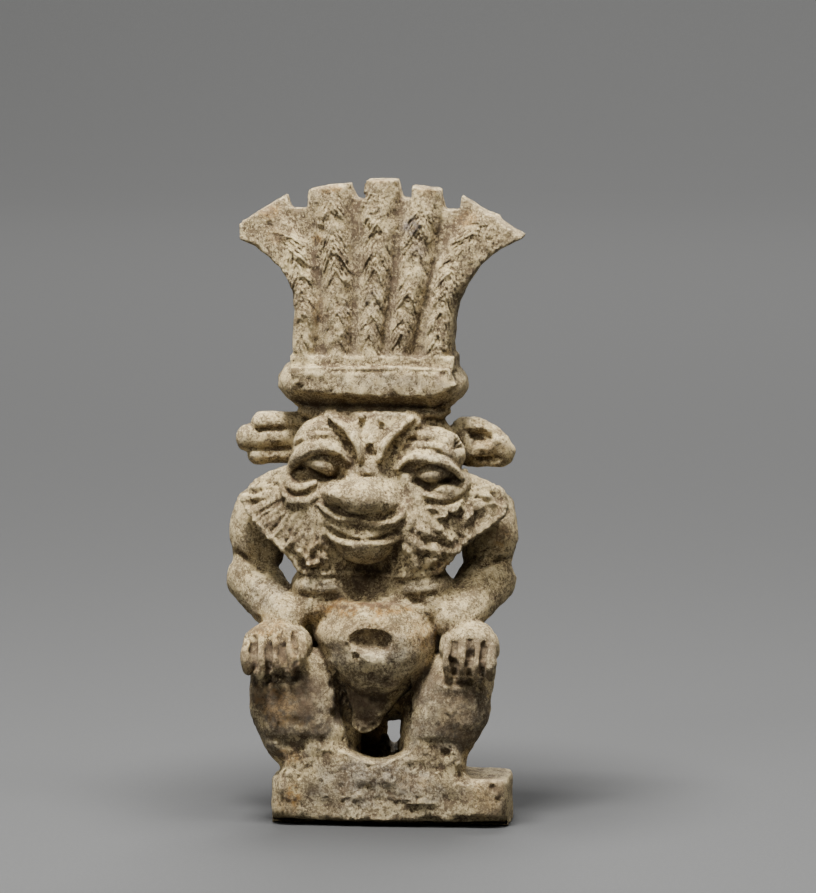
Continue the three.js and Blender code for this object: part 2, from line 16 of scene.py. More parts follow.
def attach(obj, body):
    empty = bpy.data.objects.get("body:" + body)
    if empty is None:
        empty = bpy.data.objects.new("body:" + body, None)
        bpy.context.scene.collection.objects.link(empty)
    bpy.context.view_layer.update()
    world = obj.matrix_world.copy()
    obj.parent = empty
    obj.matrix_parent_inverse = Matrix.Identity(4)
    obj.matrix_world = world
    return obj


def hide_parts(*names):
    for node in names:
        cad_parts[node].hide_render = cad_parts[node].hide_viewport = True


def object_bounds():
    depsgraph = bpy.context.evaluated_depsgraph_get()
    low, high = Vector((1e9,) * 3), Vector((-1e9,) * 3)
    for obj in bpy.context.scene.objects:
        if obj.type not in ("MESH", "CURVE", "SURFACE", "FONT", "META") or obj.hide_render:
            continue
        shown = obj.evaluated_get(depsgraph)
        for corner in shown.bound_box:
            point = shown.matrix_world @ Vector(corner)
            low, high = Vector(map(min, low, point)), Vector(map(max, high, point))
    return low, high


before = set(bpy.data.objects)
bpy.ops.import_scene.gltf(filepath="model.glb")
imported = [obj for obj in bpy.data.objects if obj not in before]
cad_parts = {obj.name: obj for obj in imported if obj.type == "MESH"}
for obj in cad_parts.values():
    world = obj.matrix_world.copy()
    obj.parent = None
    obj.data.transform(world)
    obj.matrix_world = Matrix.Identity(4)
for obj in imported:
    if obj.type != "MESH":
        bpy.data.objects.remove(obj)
frame_low, frame_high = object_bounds()
print("frame box, mm:", [round(1000 * v, 2) for v in (*frame_low, *frame_high)])

# %% [markdown]
# ## Clay
# The masses are laid up like clay. An egg is a sphere stretched to its three half sizes. A roll is a row of
# beads along a curved path, close enough to read as one sausage. Everything is made in millimetres and made
# small at the end, because Blender's remesh is surest at that size. Heights are measured from the top of
# the plinth.

# %% Tools for laying up clay
plinth_top = 3.0
bead_facets = 3
bead_overlap = 0.2

clay = []


def select_only(*pieces):
    bpy.ops.object.select_all(action="DESELECT")
    for piece in pieces:
        piece.select_set(True)
    bpy.context.view_layer.objects.active = pieces[-1]


def egg(x, y, z, half_sizes, turn=(0, 0, 0)):
    bpy.ops.object.select_all(action="DESELECT")
    bpy.ops.mesh.primitive_uv_sphere_add(segments=40, ring_count=20, radius=1)
    piece = bpy.context.object
    piece.scale = half_sizes
    piece.rotation_euler = [math.radians(angle) for angle in turn]
    piece.location = (x, y, z + plinth_top)
    bpy.ops.object.transform_apply(location=True, rotation=True, scale=True)
    clay.append(piece)
    return piece


def smooth_path(points, count):
    """Points spaced evenly along a smooth curve through the given ones."""
    points = np.array(points, float)
    if len(points) == 2:
        steps = np.linspace(0, 1, count)[:, None]
        return points[0] + (points[1] - points[0]) * steps
    ends = np.vstack([2 * points[0] - points[1], points, 2 * points[-1] - points[-2]])
    curve = []
    for i in range(len(points) - 1):
        a, b, c, d = ends[i : i + 4]
        t = np.linspace(0, 1, 24, endpoint=False)[:, None]
        curve.append(
            0.5 * (2 * b + (c - a) * t + (2 * a - 5 * b + 4 * c - d) * t**2
                   + (3 * b - a - 3 * c + d) * t**3)
        )
    curve = np.vstack(curve + [points[-1:]])
    run = np.concatenate([[0], np.cumsum(np.linalg.norm(np.diff(curve, axis=0), axis=1))])
    even = np.linspace(0, run[-1], count)
    return np.stack([np.interp(even, run, curve[:, k]) for k in range(3)], axis=1)


bpy.ops.object.select_all(action="DESELECT")
bpy.ops.mesh.primitive_ico_sphere_add(subdivisions=bead_facets, radius=1)
bead = bpy.context.object
bead_points = np.array([v.co for v in bead.data.vertices])
bead_faces = np.array([p.vertices for p in bead.data.polygons])
bpy.data.objects.remove(bead)


def roll(path, widths, depths):
    """A roll of clay along [x, y, z] points, from lists of half widths and half depths."""
    length = np.linalg.norm(np.diff(np.array(path, float), axis=0), axis=1).sum()
    thin = min(min(widths), min(depths))
    count = max(4, int(length / (bead_overlap * thin)) + 1)
    centres = smooth_path(path, count)
    share = np.linspace(0, 1, count)
    across = np.interp(share, np.linspace(0, 1, len(widths)), widths)
    deep = np.interp(share, np.linspace(0, 1, len(depths)), depths)
    along = np.gradient(centres, axis=0)
    points, faces = [], []
    for i in range(count):
        forward = Vector(along[i]).normalized()
        side = forward.cross(Vector((0, -1, 0)))
        side = side.normalized() if side.length > 1e-4 else Vector((1, 0, 0))
        front = forward.cross(side)
        turn = np.array([side * across[i], front * deep[i], forward * min(across[i], deep[i])])
        points.append(bead_points @ turn + centres[i] + (0, 0, plinth_top))
        faces.append(bead_faces + i * len(bead_points))
    mesh = bpy.data.meshes.new("roll")
    mesh.from_pydata(np.vstack(points).tolist(), [], np.vstack(faces).tolist())
    piece = bpy.data.objects.new("roll", mesh)
    bpy.context.collection.objects.link(piece)
    clay.append(piece)
    return piece


def fuse(pieces, grain, rounds):
    """Joins pieces of clay into one skin with the given grain, and smooths the joints."""
    select_only(*pieces)
    if len(pieces) > 1:
        bpy.ops.object.join()
    body = bpy.context.object
    remesh = body.modifiers.new("skin", "REMESH")
    remesh.mode = "VOXEL"
    remesh.voxel_size = grain
    bpy.ops.object.modifier_apply(modifier=remesh.name)
    if rounds:
        smooth = body.modifiers.new("thumb", "SMOOTH")
        smooth.factor = 0.5
        smooth.iterations = rounds
        bpy.ops.object.modifier_apply(modifier=smooth.name)
    print("fused", len(pieces), "pieces into", len(body.data.polygons), "faces")
    return body


# %% [markdown]
# ## Legs and trunk
# Shins in front, thighs beside the belly and haunches behind squat on the plinth. The feet have broken off,
# so the shins run into one rough mass. A web of stone was left between the belly and the legs, and only a
# small opening goes right through it: four little eggs round its corners, so that it is the shape of a leaf.
# The trunk is a back, a chest and a big belly that hangs over a broken apron, with a lion's tail behind.

# %% Lay up the legs
# shins and knees
roll([(-4.9, -3.2, 6.3), (-4.65, -3.45, 4.6), (-4.1, -3.5, 2.9), (-3.5, -3.5, 1.3), (-3.75, -3.5, -0.9)],
     [2.6, 2.95, 2.65, 2.2, 1.8], [1.9, 1.9, 1.6, 1.4, 1.25])
egg(-5.0, -3.75, 5.75, (2.1, 1.55, 1.0))
roll([(5.7, -3.2, 6.3), (5.2, -3.4, 4.6), (4.45, -3.45, 2.8), (4.15, -3.45, 1.4), (4.45, -3.5, -0.9)],
     [1.85, 2.5, 2.25, 2.0, 1.75], [1.8, 1.85, 1.6, 1.4, 1.25])
egg(5.35, -3.85, 5.9, (1.5, 1.45, 1.0))
# thighs, haunches and seat
roll([(-5.2, -2.6, 6.2), (-3.6, 2.0, 3.8)], [2.35, 2.5], [2.35, 2.5])
roll([(5.5, -2.4, 5.9), (3.8, 2.0, 3.8)], [2.25, 2.5], [2.25, 2.5])
egg(-3.8, 1.0, 0.9, (2.05, 3.2, 2.05))
egg(3.65, 1.0, 0.9, (2.1, 3.2, 2.05))
egg(0.6, 2.2, 0.2, (2.6, 1.7, 1.12))
# the web between the belly and the legs, and the corners of its opening
egg(2.3, -1.0, 2.4, (0.62, 1.0, 1.5))
roll([(-2.5, -1.7, 7.4), (-1.95, -1.75, 5.2), (-1.55, -1.8, 3.2), (-1.5, -1.9, 1.2)],
     [0.9, 1.0, 0.85, 0.8], [1.4, 1.4, 1.4, 1.3])
roll([(3.1, -1.5, 7.4), (2.75, -1.5, 5.2), (2.75, -1.7, 3.2), (2.65, -1.8, 1.2)],
     [1.0, 1.1, 0.85, 0.95], [1.4, 1.4, 1.4, 1.3])
egg(1.7, -1.3, 5.3, (1.5, 1.3, 1.45))
for x, z, half_x, half_z in (
    (0.5, 1.2, 0.36, 0.8), (1.82, 1.1, 0.56, 0.85), (1.72, 3.3, 0.34, 0.4), (0.6, 3.3, 0.24, 0.3),
):
    egg(x, 1.5, z, (half_x, 0.9, half_z))
# the rough mass where the feet broke off, cut back flat later
roll([(-4.0, -3.7, 1.1), (-2.2, -3.7, 0.75), (0.5, -3.7, 0.1), (2.8, -3.7, 0.6), (4.7, -3.7, 1.0)],
     [1.35, 1.2, 1.05, 1.2, 1.35], [2.1])
roll([(-4.4, -3.7, -0.4), (0.4, -3.7, -0.5), (5.0, -3.7, -0.4)], [1.4, 1.2, 1.4], [2.1])

# %% Lay up the trunk
# back, chest, belly, apron and tail
roll([(0.1, 1.3, 5.6), (0.1, 1.4, 8.5), (0.1, 1.0, 12.5), (0, 0.9, 16.4)],
     [3.5, 4.1, 4.2, 5.8], [2.85, 3.15, 3.25, 2.55])
roll([(0.2, -1.6, 13.2), (0.1, -1.6, 10.6)], [4.5, 4.7], [2.4, 2.5])
egg(0.38, -2.0, 9.05, (4.0, 4.25, 2.1), (6, 0, 0))
roll([(0.5, -2.5, 8.4), (0.4, -2.9, 7.3), (0.15, -3.2, 6.3)], [3.75, 3.0, 1.6], [3.65, 2.9, 1.7])
roll([(0.3, -3.4, 5.9), (0.0, -3.8, 4.5), (-0.25, -4.0, 3.45)], [2.0, 1.4, 0.75], [1.4, 1.1, 0.8])
roll([(-0.7, 3.0, 6.5), (-0.75, 3.4, 2.8), (-0.9, 3.3, -0.8)], [1.45, 1.3, 1.45], [0.9, 0.8, 1.1])
egg(0.1, 1.0, 8.4, (5.6, 2.8, 2.8))
# the hips, and the folds of the chest
egg(-3.0, -2.35, 11.95, (2.0, 1.8, 1.3))
egg(3.2, -2.35, 11.95, (1.95, 1.75, 1.3))
egg(-3.05, -2.5, 10.75, (1.8, 1.5, 1.5))
egg(3.6, -2.5, 10.75, (1.7, 1.45, 1.45))
print(len(clay), "pieces of clay for legs and trunk")

# %% [markdown]
# ## Arms, head and mane
# The upper arms hang from the shoulders and the forearms come forward to the knees. The head is a ball with
# a muzzle. The mane is a broad ruff with a thin rim, cut from a swelling shell so that it falls back
# towards its edge.

# %% Lay up the arms and the head
for shoulder, middle, crook, elbow, wrist, thick in (
    [(-7.1, 1.0, 16.2), (-7.4, 0.7, 14.8), (-7.35, 0.6, 13.3), (-7.75, 0.3, 12.0), (-5.2, -3.0, 9.75), 1.04],
    [(6.9, 1.0, 16.2), (7.1, 0.7, 14.8), (7.1, 0.6, 13.4), (7.2, 0.3, 12.15), (5.3, -3.0, 9.8), 1.08],
):
    roll([shoulder, middle, crook], [1.75 * thick, 1.78 * thick, 1.6], [1.5, 1.55, 1.3])
    roll([elbow, wrist], [1.7 * thick, 1.45], [1.5, 1.3])
egg(0.15, -0.4, 19.6, (5.3, 3.55, 4.25))
egg(-0.1, -2.5, 16.6, (3.65, 2.65, 3.25))
egg(0.1, -0.9, 22.6, (4.9, 2.2, 0.9))
eyes = [(-1, -2.8, 19.5), (1, 3.9, 18.95)]
for side, x, z in eyes:
    egg(x + side * 0.1, -2.75, z + 1.1, (1.95, 1.45, 1.8))

# %% Lay up the mane
mane_centre = (0.1, 2.4, 15.4)
mane_swell = (10.7, 7.2, 7.7)
mane_rim = [
    (-5.2, 19.2), (-6.3, 18.9), (-7.4, 18.3), (-8.2, 17.3), (-8.1, 16.7), (-7.0, 15.4), (-5.9, 14.5),
    (-5.0, 13.6), (-4.4, 12.8), (-2.6, 12.6), (2.6, 12.5), (4.4, 12.8), (5.2, 13.6), (6.2, 14.8),
    (7.4, 15.6), (8.4, 16.4), (8.5, 17.2), (8.2, 17.9), (7.2, 18.3), (5.6, 19.0),
]
mane_mesh = bpy.data.meshes.new("mane")
mane_mesh.from_pydata(
    [(x, -1.0, z + plinth_top) for x, z in mane_rim], [], [list(range(len(mane_rim)))]
)
mane = bpy.data.objects.new("mane", mane_mesh)
bpy.context.collection.objects.link(mane)
select_only(mane)
bpy.ops.object.mode_set(mode="EDIT")
bpy.ops.mesh.select_all(action="SELECT")
bpy.ops.mesh.extrude_region_move(TRANSFORM_OT_translate={"value": (0, -6, 0)})
bpy.ops.mesh.select_all(action="SELECT")
bpy.ops.mesh.normals_make_consistent(inside=False)
bpy.ops.object.mode_set(mode="OBJECT")
swell = egg(*mane_centre, mane_swell)
clay.remove(swell)
meet = mane.modifiers.new("swell", "BOOLEAN")
meet.operation = "INTERSECT"
meet.solver = "EXACT"
meet.object = swell
select_only(mane)
bpy.ops.object.modifier_apply(modifier=meet.name)
bpy.data.objects.remove(swell)
print("mane has", len(mane.data.polygons), "faces")

# %% Fuse the masses
mass_grain, fine_grain = 0.14, 0.1
masses = fuse(clay, mass_grain, 8)
mane = fuse([mane], mass_grain, 1)

# %% [markdown]
# ## Crown and plinth
# These have flat faces and crisp outlines that the frame's solid already holds, so they are cut from a copy
# of it: one bisect keeps the cornice and the crown, and another keeps the plinth.

# %% Cut the crown and the plinth from a copy of the solid
def cut_from_solid(height, keep_above):
    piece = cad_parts["bes_figure"].copy()
    piece.data = piece.data.copy()
    bpy.context.collection.objects.link(piece)
    piece.parent = None
    piece.matrix_world = Matrix.Identity(4)
    piece.data.transform(Matrix.Scale(1000, 4))
    select_only(piece)
    bpy.ops.object.mode_set(mode="EDIT")
    bpy.ops.mesh.select_all(action="SELECT")
    bpy.ops.mesh.remove_doubles(threshold=0.0005)
    bpy.ops.mesh.select_all(action="SELECT")
    bpy.ops.mesh.bisect(
        plane_co=(0, 0, height), plane_no=(0, 0, 1), use_fill=True,
        clear_inner=keep_above, clear_outer=not keep_above,
    )
    bpy.ops.object.mode_set(mode="OBJECT")
    piece.data.materials.clear()
    return piece


cornice_foot = 25.95
crown = cut_from_solid(cornice_foot, keep_above=True)
plinth = cut_from_solid(plinth_top - 0.02, keep_above=False)
print("crown", len(crown.data.polygons), "faces, plinth", len(plinth.data.polygons), "faces")

# %% [markdown]
# ## Features
# The face is modelled on top of the masses. Hollows are scooped first: each point of the skin that lies
# inside a scoop is pushed back to the scoop's far wall, which is what a round gouge leaves. Under the chin,
# where the mane and the chest sink in softly, the skin is pressed instead, as with a thumb. Then small
# pieces of clay make the eyeballs, lids, folds, nose, lips, fingers and ears.

# %% Scoop the hollows
def points_of(piece):
    values = np.empty(len(piece.data.vertices) * 3)
    piece.data.vertices.foreach_get("co", values)
    return values.reshape(-1, 3)


def put_back(piece, points):
    piece.data.vertices.foreach_set("co", points.astype(np.float32).ravel())
    piece.data.update()


def scoop(points, x, y, z, half_sizes):
    """Pushes the front skin back to the far wall of an egg."""
    across = (points[:, 0] - x) / half_sizes[0]
    up = (points[:, 2] - z - plinth_top) / half_sizes[2]
    inside = across**2 + up**2 < 1
    wall = y + half_sizes[1] * np.sqrt(np.clip(1 - across**2 - up**2, 0, 1))
    inside &= (points[:, 1] < wall) & (points[:, 1] > y - 3 * half_sizes[1])
    points[inside, 1] = wall[inside]


def press(points, x, z, half_x, half_z, depth):
    """Presses a soft dish into the front skin, as a thumb does."""
    reach = np.hypot((points[:, 0] - x) / half_x, (points[:, 2] - z - plinth_top) / half_z)
    dish = depth * np.clip(1 - reach**2, 0, 1) ** 1.5
    points[:, 1] += dish * (points[:, 1] < -1.5)


for piece, deep in ((masses, 0.0), (mane, 1.5)):
    skin = points_of(piece)
    press(skin, -0.15, 13.9, 3.0, 2.9, deep)
    press(skin, -0.1, 12.7, 1.8, 2.1, 1.25)
    for side, x, z in eyes:
        scoop(skin, x + side * 0.05, -4.6, z - 0.3, (1.6, 1.35, 0.9))
    put_back(piece, skin)
clay = [masses, mane, crown, plinth]

# %% Find the front of the skin
cell = 0.16
grid_left, grid_low = 12, 2
grid_cells = (200, 300)
far_away = 99.0


def front_grid(points):
    """The skin's nearest point to the front, on a grid over x and z."""
    place = ((points[:, [0, 2]] + (grid_left, grid_low)) / cell).astype(int)
    grid = np.full(grid_cells, far_away)
    np.minimum.at(grid, (place[:, 0], place[:, 1]), points[:, 1])
    for axis in (0, 1):
        grid = np.minimum.reduce([np.roll(grid, step, axis) for step in (-1, 0, 1)])
    return grid, place


face_grid, _ = front_grid(np.vstack([points_of(masses), points_of(mane)]))


def cell_at(x, z):
    return int((x + grid_left) / cell), int((z + plinth_top + grid_low) / cell)


def front_at(x, z):
    return face_grid[cell_at(x, z)]


# %% Model the folds of the face
def fold(path, half_width, proud, half_depth=0.5, tapered=True):
    """A thin roll pressed on the front along [x, z] points, standing proud of it."""
    steps = smooth_path([(x, 0, z) for x, z in path], 9)
    front = np.array([front_at(x, z) for x, _, z in steps])
    front = np.convolve(np.pad(front, 1, mode="edge"), (0.25, 0.5, 0.25), mode="valid")
    placed = [(x, y + half_depth - proud, z) for (x, _, z), y in zip(steps, front)]
    end = 0.5 if tapered else 0.9
    return roll(placed, [half_width * end, half_width, half_width, half_width * end], [half_depth])


# lids, the cheek ridges that close the loop round each eye, and the bags beneath
fold([(-5.0, 19.0), (-4.7, 19.6), (-4.15, 20.15), (-3.35, 20.55), (-2.4, 20.6), (-1.7, 20.3),
      (-1.25, 19.8)], 0.44, 0.3)
fold([(5.7, 18.85), (5.35, 19.35), (4.7, 19.75), (3.9, 19.95), (2.9, 20.0), (2.2, 19.75), (1.8, 19.3)],
     0.4, 0.26)
fold([(-4.95, 19.3), (-5.15, 18.75), (-4.95, 18.25), (-4.45, 18.0), (-3.9, 18.1), (-3.3, 18.4)], 0.36, 0.3)
fold([(-5.5, 18.1), (-5.2, 17.5), (-4.6, 17.15), (-3.8, 17.25), (-3.2, 17.6)], 0.38, 0.2)
fold([(5.65, 19.1), (5.95, 18.7), (5.85, 18.2), (5.35, 17.75), (4.5, 17.5), (3.5, 17.75)], 0.36, 0.26)
fold([(5.75, 17.2), (4.9, 16.8), (3.8, 16.95)], 0.3, 0.14)
egg(4.7, front_at(4.7, 18.0) + 0.4, 18.0, (1.15, 0.7, 0.5), (0, 12, 0))

# %% Model the eyeballs, the forehead and the nose
for side, x, z in eyes:
    egg(x + side * 0.1, -3.2, z + 0.02, (1.05, 1.08, 0.62), (0, -side * 10, 0))
roll([(0.2, -1.9, 22.3), (0.15, -3.35, 20.6)], [2.3, 0.7], [1.35, 0.75])
roll([(-2.45, -3.25, 22.45), (-1.45, -3.65, 21.8), (-0.7, -4.0, 20.9), (-0.4, -4.0, 19.9)],
     [0.22, 0.3, 0.3, 0.2], [0.55])
roll([(2.65, -3.2, 22.35), (1.8, -3.65, 21.7), (1.05, -4.0, 20.8), (0.75, -4.0, 19.9)],
     [0.24, 0.34, 0.32, 0.2], [0.55])
roll([(0.1, -3.3, 20.6), (-0.1, -3.7, 19.1)], [0.85, 1.0], [0.45, 0.65])
egg(-1.75, -2.85, 21.3, (0.75, 0.95, 1.5), (0, -38, 0))
egg(2.1, -2.85, 21.2, (0.75, 0.95, 1.5), (0, 38, 0))
egg(0.75, -3.35, 22.35, (0.34, 0.3, 0.3))
egg(-0.45, -3.5, 22.5, (0.28, 0.25, 0.3))
# the width of the nose, its tip and its right nostril
egg(-0.6, -4.55, 17.65, (2.3, 1.35, 0.78), (0, 7, 0))
egg(-0.3, -4.8, 17.6, (1.7, 1.3, 1.08), (0, 5, 0))
egg(1.0, -4.45, 17.3, (0.9, 1.1, 0.8))

# %% Model the lips and the chin
# upper lip, lower lip and what lies between, then the chin and its rim
roll([(-2.9, -3.9, 17.0), (-2.3, -4.4, 16.62), (-1.6, -4.75, 16.33), (-0.6, -4.98, 16.22),
      (0.15, -5.02, 16.1), (0.9, -4.92, 16.0), (1.6, -4.65, 16.12), (2.15, -4.3, 16.5), (2.4, -3.9, 17.0)],
     [0.2, 0.33, 0.35, 0.33, 0.2], [0.55])
roll([(-2.5, -3.9, 16.1), (-1.6, -4.5, 15.72), (-0.5, -4.72, 15.55), (0.6, -4.65, 15.55),
      (1.5, -4.35, 15.8), (2.2, -3.8, 16.2)], [0.35, 0.62, 0.66, 0.62, 0.35], [0.62])
egg(-0.3, -4.25, 16.45, (2.3, 1.05, 0.7))
egg(-0.2, -3.6, 14.85, (1.95, 2.0, 1.55))
roll([(-2.5, -3.8, 15.35), (-1.9, -4.5, 14.95), (-1.2, -4.9, 14.75), (-0.3, -5.1, 14.7), (0.7, -4.9, 14.75),
      (1.4, -4.5, 14.85), (2.0, -3.8, 15.1)], [0.2, 0.3, 0.3, 0.3, 0.2], [0.5])

# %% Model the hands
for centre, half_sizes, fingers in (
    [(-5.7, -3.7, 8.2), (2.2, 1.85, 1.6),
     [(-7.4, 8.4, 6.9), (-6.5, 8.7, 6.5), (-5.6, 8.9, 6.4), (-4.75, 9.0, 6.5), (-4.1, 8.8, 7.2)]],
    [(6.3, -3.5, 8.2), (1.9, 1.85, 1.65),
     [(5.1, 8.7, 6.8), (6.0, 8.8, 6.5), (6.9, 8.6, 6.4), (7.7, 8.3, 6.6)]],
):
    egg(*centre, half_sizes)
    for across, knuckle, end in fingers:
        y = centre[1]
        roll([(across, y - 1.2, knuckle), (across, y - 1.8, (knuckle + end) / 2), (across, y - 1.5, end)],
             [0.35, 0.42, 0.35], [0.5])

# %% Model the ears
# the left one is three rolls, and the right one a tilted lobe
roll([(-4.8, 0.2, 21.8), (-7.15, 0.0, 21.82)], [0.6, 0.58], [0.8, 0.75])
roll([(-4.8, 0.2, 20.8), (-7.85, 0.1, 20.75)], [0.75, 0.85], [0.95, 0.85])
roll([(-4.8, 0.2, 19.75), (-7.35, 0.1, 19.72)], [0.6, 0.62], [0.8, 0.7])
egg(6.75, 0.3, 20.6, (2.25, 0.9, 1.3), (0, 31, 0))
egg(6.4, 0.3, 20.2, (1.7, 0.85, 1.25))
egg(8.0, 0.2, 20.0, (0.85, 0.6, 0.68))

# %% [markdown]
# ## One skin
# The real figure is one block. So the masses, the mane, the crown, the plinth and the small pieces are fused
# once more into one closed skin, in a finer grain than before, because the fine cuts come next.

# %% Fuse the whole figure
figure = fuse(clay, fine_grain, 1)
figure.name = "carved_figure"
figure.data.name = "carved_figure"

# %% [markdown]
# ## Carving
# Fine relief is cut as a carver cuts it: line by line. Each point of the skin knows its normal, and a cut
# pushes the points near its line inwards while a ridge lifts them. Only skin that is seen from the chosen
# side is touched, so a line on the mane doesn't mark the arm behind it.

# %% Measure the skin
count = len(figure.data.vertices)
skin = points_of(figure)


def edges_of(piece):
    values = np.empty(len(piece.data.edges) * 2, int)
    piece.data.edges.foreach_get("vertices", values)
    return values.reshape(-1, 2)


def spread(values, edges, rounds):
    """Evens values out over neighbouring points of the skin."""
    total = len(values)
    degree = np.maximum(np.bincount(edges.ravel(), minlength=total), 1)
    columns = list(values.reshape(total, -1).T)
    for _ in range(rounds):
        columns = [
            0.5 * column + 0.5 * (np.bincount(edges[:, 0], column[edges[:, 1]], total)
                                  + np.bincount(edges[:, 1], column[edges[:, 0]], total)) / degree
            for column in columns
        ]
    return np.stack(columns, axis=1) if len(columns) > 1 else columns[0]


def normals_of(piece):
    values = np.empty(len(piece.data.vertices) * 3)
    piece.data.vertex_normals.foreach_get("vector", values)
    return values.reshape(-1, 3)


outward = spread(normals_of(figure), edges_of(figure), 6)
outward /= np.linalg.norm(outward, axis=1, keepdims=True)

seen_depth = 0.7
nearest, place = front_grid(skin)
seen = (skin[:, 1] < nearest[place[:, 0], place[:, 1]] + seen_depth) & (outward[:, 1] < 0.25)
furthest, place = front_grid(skin * (1, -1, 1))
seen_behind = (-skin[:, 1] < furthest[place[:, 0], place[:, 1]] + seen_depth) & (outward[:, 1] > -0.1)
print(count, "points of skin,", int(seen.sum()), "seen from the front")

# %% Make a rough noise to break up what is too even
lattice_size = 32
lattice = np.random.default_rng(7).random((lattice_size,) * 3)


def noise(points, size, shift=0.0):
    """Smooth random values from -1 to 1, with bumps of the given size."""
    place = points / size + shift
    base = np.floor(place).astype(int)
    part = place - base
    part = part * part * (3 - 2 * part)
    total = 0
    for corner in np.ndindex(2, 2, 2):
        weight = np.prod(np.where(corner, part, 1 - part), axis=1)
        i, j, k = ((base + corner) % lattice_size).T
        total = total + weight * lattice[i, j, k]
    return 2 * total - 1


# %% Make the carver's line
cut = np.zeros(count)
lift = np.zeros(count)
uneven = 0.8 + 0.4 * noise(skin, 0.5)


def line(path, width, height, taper=0.35, wobble=0.0, where=seen, strength=None):
    """Cuts a groove, or lifts a ridge where height is positive, along [x, z] points."""
    path = [(x, 0, z + plinth_top) for x, z in path]
    length = sum(math.dist(a, b) for a, b in zip(path, path[1:]))
    steps = smooth_path(path, max(4, int(length / 0.08)))[:, [0, 2]]
    low, high = steps.min(0) - width, steps.max(0) + width
    flat = skin[:, [0, 2]]
    near = np.flatnonzero(where & np.all((flat > low) & (flat < high), axis=1))
    if not len(near):
        return
    place = flat[near]
    if wobble:
        sway = [noise(skin[near], 0.6, shift) for shift in (3.1, 8.7)]
        place = place + wobble * np.stack(sway, axis=1)
    gap = np.linalg.norm(place[:, None] - steps[None], axis=2)
    share = gap.argmin(1) / (len(steps) - 1)
    ends = np.clip(np.minimum(share, 1 - share) / taper, 0, 1) if taper else 1.0
    profile = np.clip(1 - gap.min(1) / width, 0, 1)
    profile = profile * profile * (3 - 2 * profile)
    amount = profile * np.sqrt(ends) * uneven[near] * abs(height)
    if strength is not None:
        amount = amount * strength[near]
    if height < 0:
        cut[near] = np.minimum(cut[near], -amount)
    else:
        lift[near] = np.maximum(lift[near], amount)


# %% [markdown]
# ## Plumes
# Five plumes stand side by side, each a wide convex rib, with sunken channels between them. The two outer
# ones open like fans. Barbs rise to each spine like stacked chevrons, uneven as a knife leaves them. The
# height of the front and the back is worked out from the distance to the nearest spine. The spines are
# measured from the ground, not from the plinth's top, as the frame's solid is.

# %% Lay out the plumes
crown_foot, crown_top = 29.2, 40.0
plumes = [
    ([(-4.15, 29.2), (-4.1, 32.2), (-4.45, 34.1), (-5.1, 35.7), (-6.4, 37.2), (-7.4, 38.2)], -1),
    ([(-1.85, 29.2), (-2.05, 32.9), (-2.35, 36.3), (-2.6, 39.9)], 0),
    ([(0.1, 29.2), (0.22, 33.6), (0.42, 37.6), (0.6, 40.2)], 0),
    ([(2.0, 29.2), (2.35, 32.2), (2.85, 35.6), (3.45, 39.8)], 0),
    ([(4.3, 29.2), (4.55, 32.2), (5.1, 34.6), (6.2, 36.4), (7.6, 37.5), (8.5, 37.9)], 1),
]
rib_foot, rib_top = 0.72, 1.2
fan_reach = 2.6
spine_steps = 90


def plume_places(points):
    """For each point: its share of the rib's half width, its gap from the spine, the run and the run left."""
    height = np.clip((points[:, 2] - crown_foot) / (crown_top - crown_foot), 0, 1)
    share, gap, run, left = np.full(len(points), 9.0), *np.zeros((3, len(points)))
    for spine, fan in plumes:
        steps = smooth_path([(x, 0, z) for x, z in spine], spine_steps)[:, [0, 2]]
        distance = np.linalg.norm(points[:, None, ::2] - steps[None], axis=2)
        best = distance.argmin(1)
        side = np.sign(points[:, 0] - steps[best, 0])
        width = rib_foot + (rib_top - rib_foot) * height
        if fan:
            width = width + np.where(side == fan, fan_reach * np.clip((height - 0.35) / 0.3, 0, 1), 0)
        total = np.linalg.norm(np.diff(steps, axis=0), axis=1).sum()
        closer = distance.min(1) / width < abs(share)
        share = np.where(closer, side * distance.min(1) / width, share)
        gap = np.where(closer, distance.min(1), gap)
        run = np.where(closer, best / (spine_steps - 1) * total, run)
        left = np.where(closer, (1 - best / (spine_steps - 1)) * total, left)
    return share, gap, run, left


on_crown = np.flatnonzero(skin[:, 2] > crown_foot)
crown_skin = skin[on_crown]
height = np.clip((crown_skin[:, 2] - crown_foot) / (crown_top - crown_foot), 0, 1)
share, gap, run, length_left = plume_places(crown_skin)
print("crown:", len(on_crown), "points of skin")

# %% Lay the barbs
rib = np.clip(1 - (share / 1.1) ** 2, 0, 1) ** 0.9
long_barb, short_barb = 1.35, 0.46
rise, fall = 0.72, 0.28


def barbs_at(points, run, gap, period, loose):
    """Barbs stacked along a spine: each rises from under the one above it. 1 is the top of a barb."""
    wander = loose * (0.3 * noise(points, 0.9, 5.0) + 0.14 * noise(points, 0.35, 2.0))
    leaf = (run + 1.5 * gap + wander) / period % 1
    return np.where(leaf < rise, 1 - leaf / rise, (leaf - rise) / fall)


barbs = 0.12 * barbs_at(crown_skin, run, gap, long_barb, 1.0)
barbs += 0.14 * barbs_at(crown_skin, run, 1.3 * gap, short_barb, 0.6)
barbs -= 0.1 * np.clip(1 - gap / 0.16, 0, 1) * (noise(crown_skin, 1.1, 1.0) > -0.2)
barbs *= np.clip(1.5 - abs(share), 0, 1) * (0.9 + 0.7 * noise(crown_skin, 1.1, 9.0))
barbs *= 0.35 + 0.65 * np.clip((length_left - 0.7) / 1.2, 0, 1)
print("barbs from", round(float(barbs.min()), 2), "to", round(float(barbs.max()), 2), "mm")

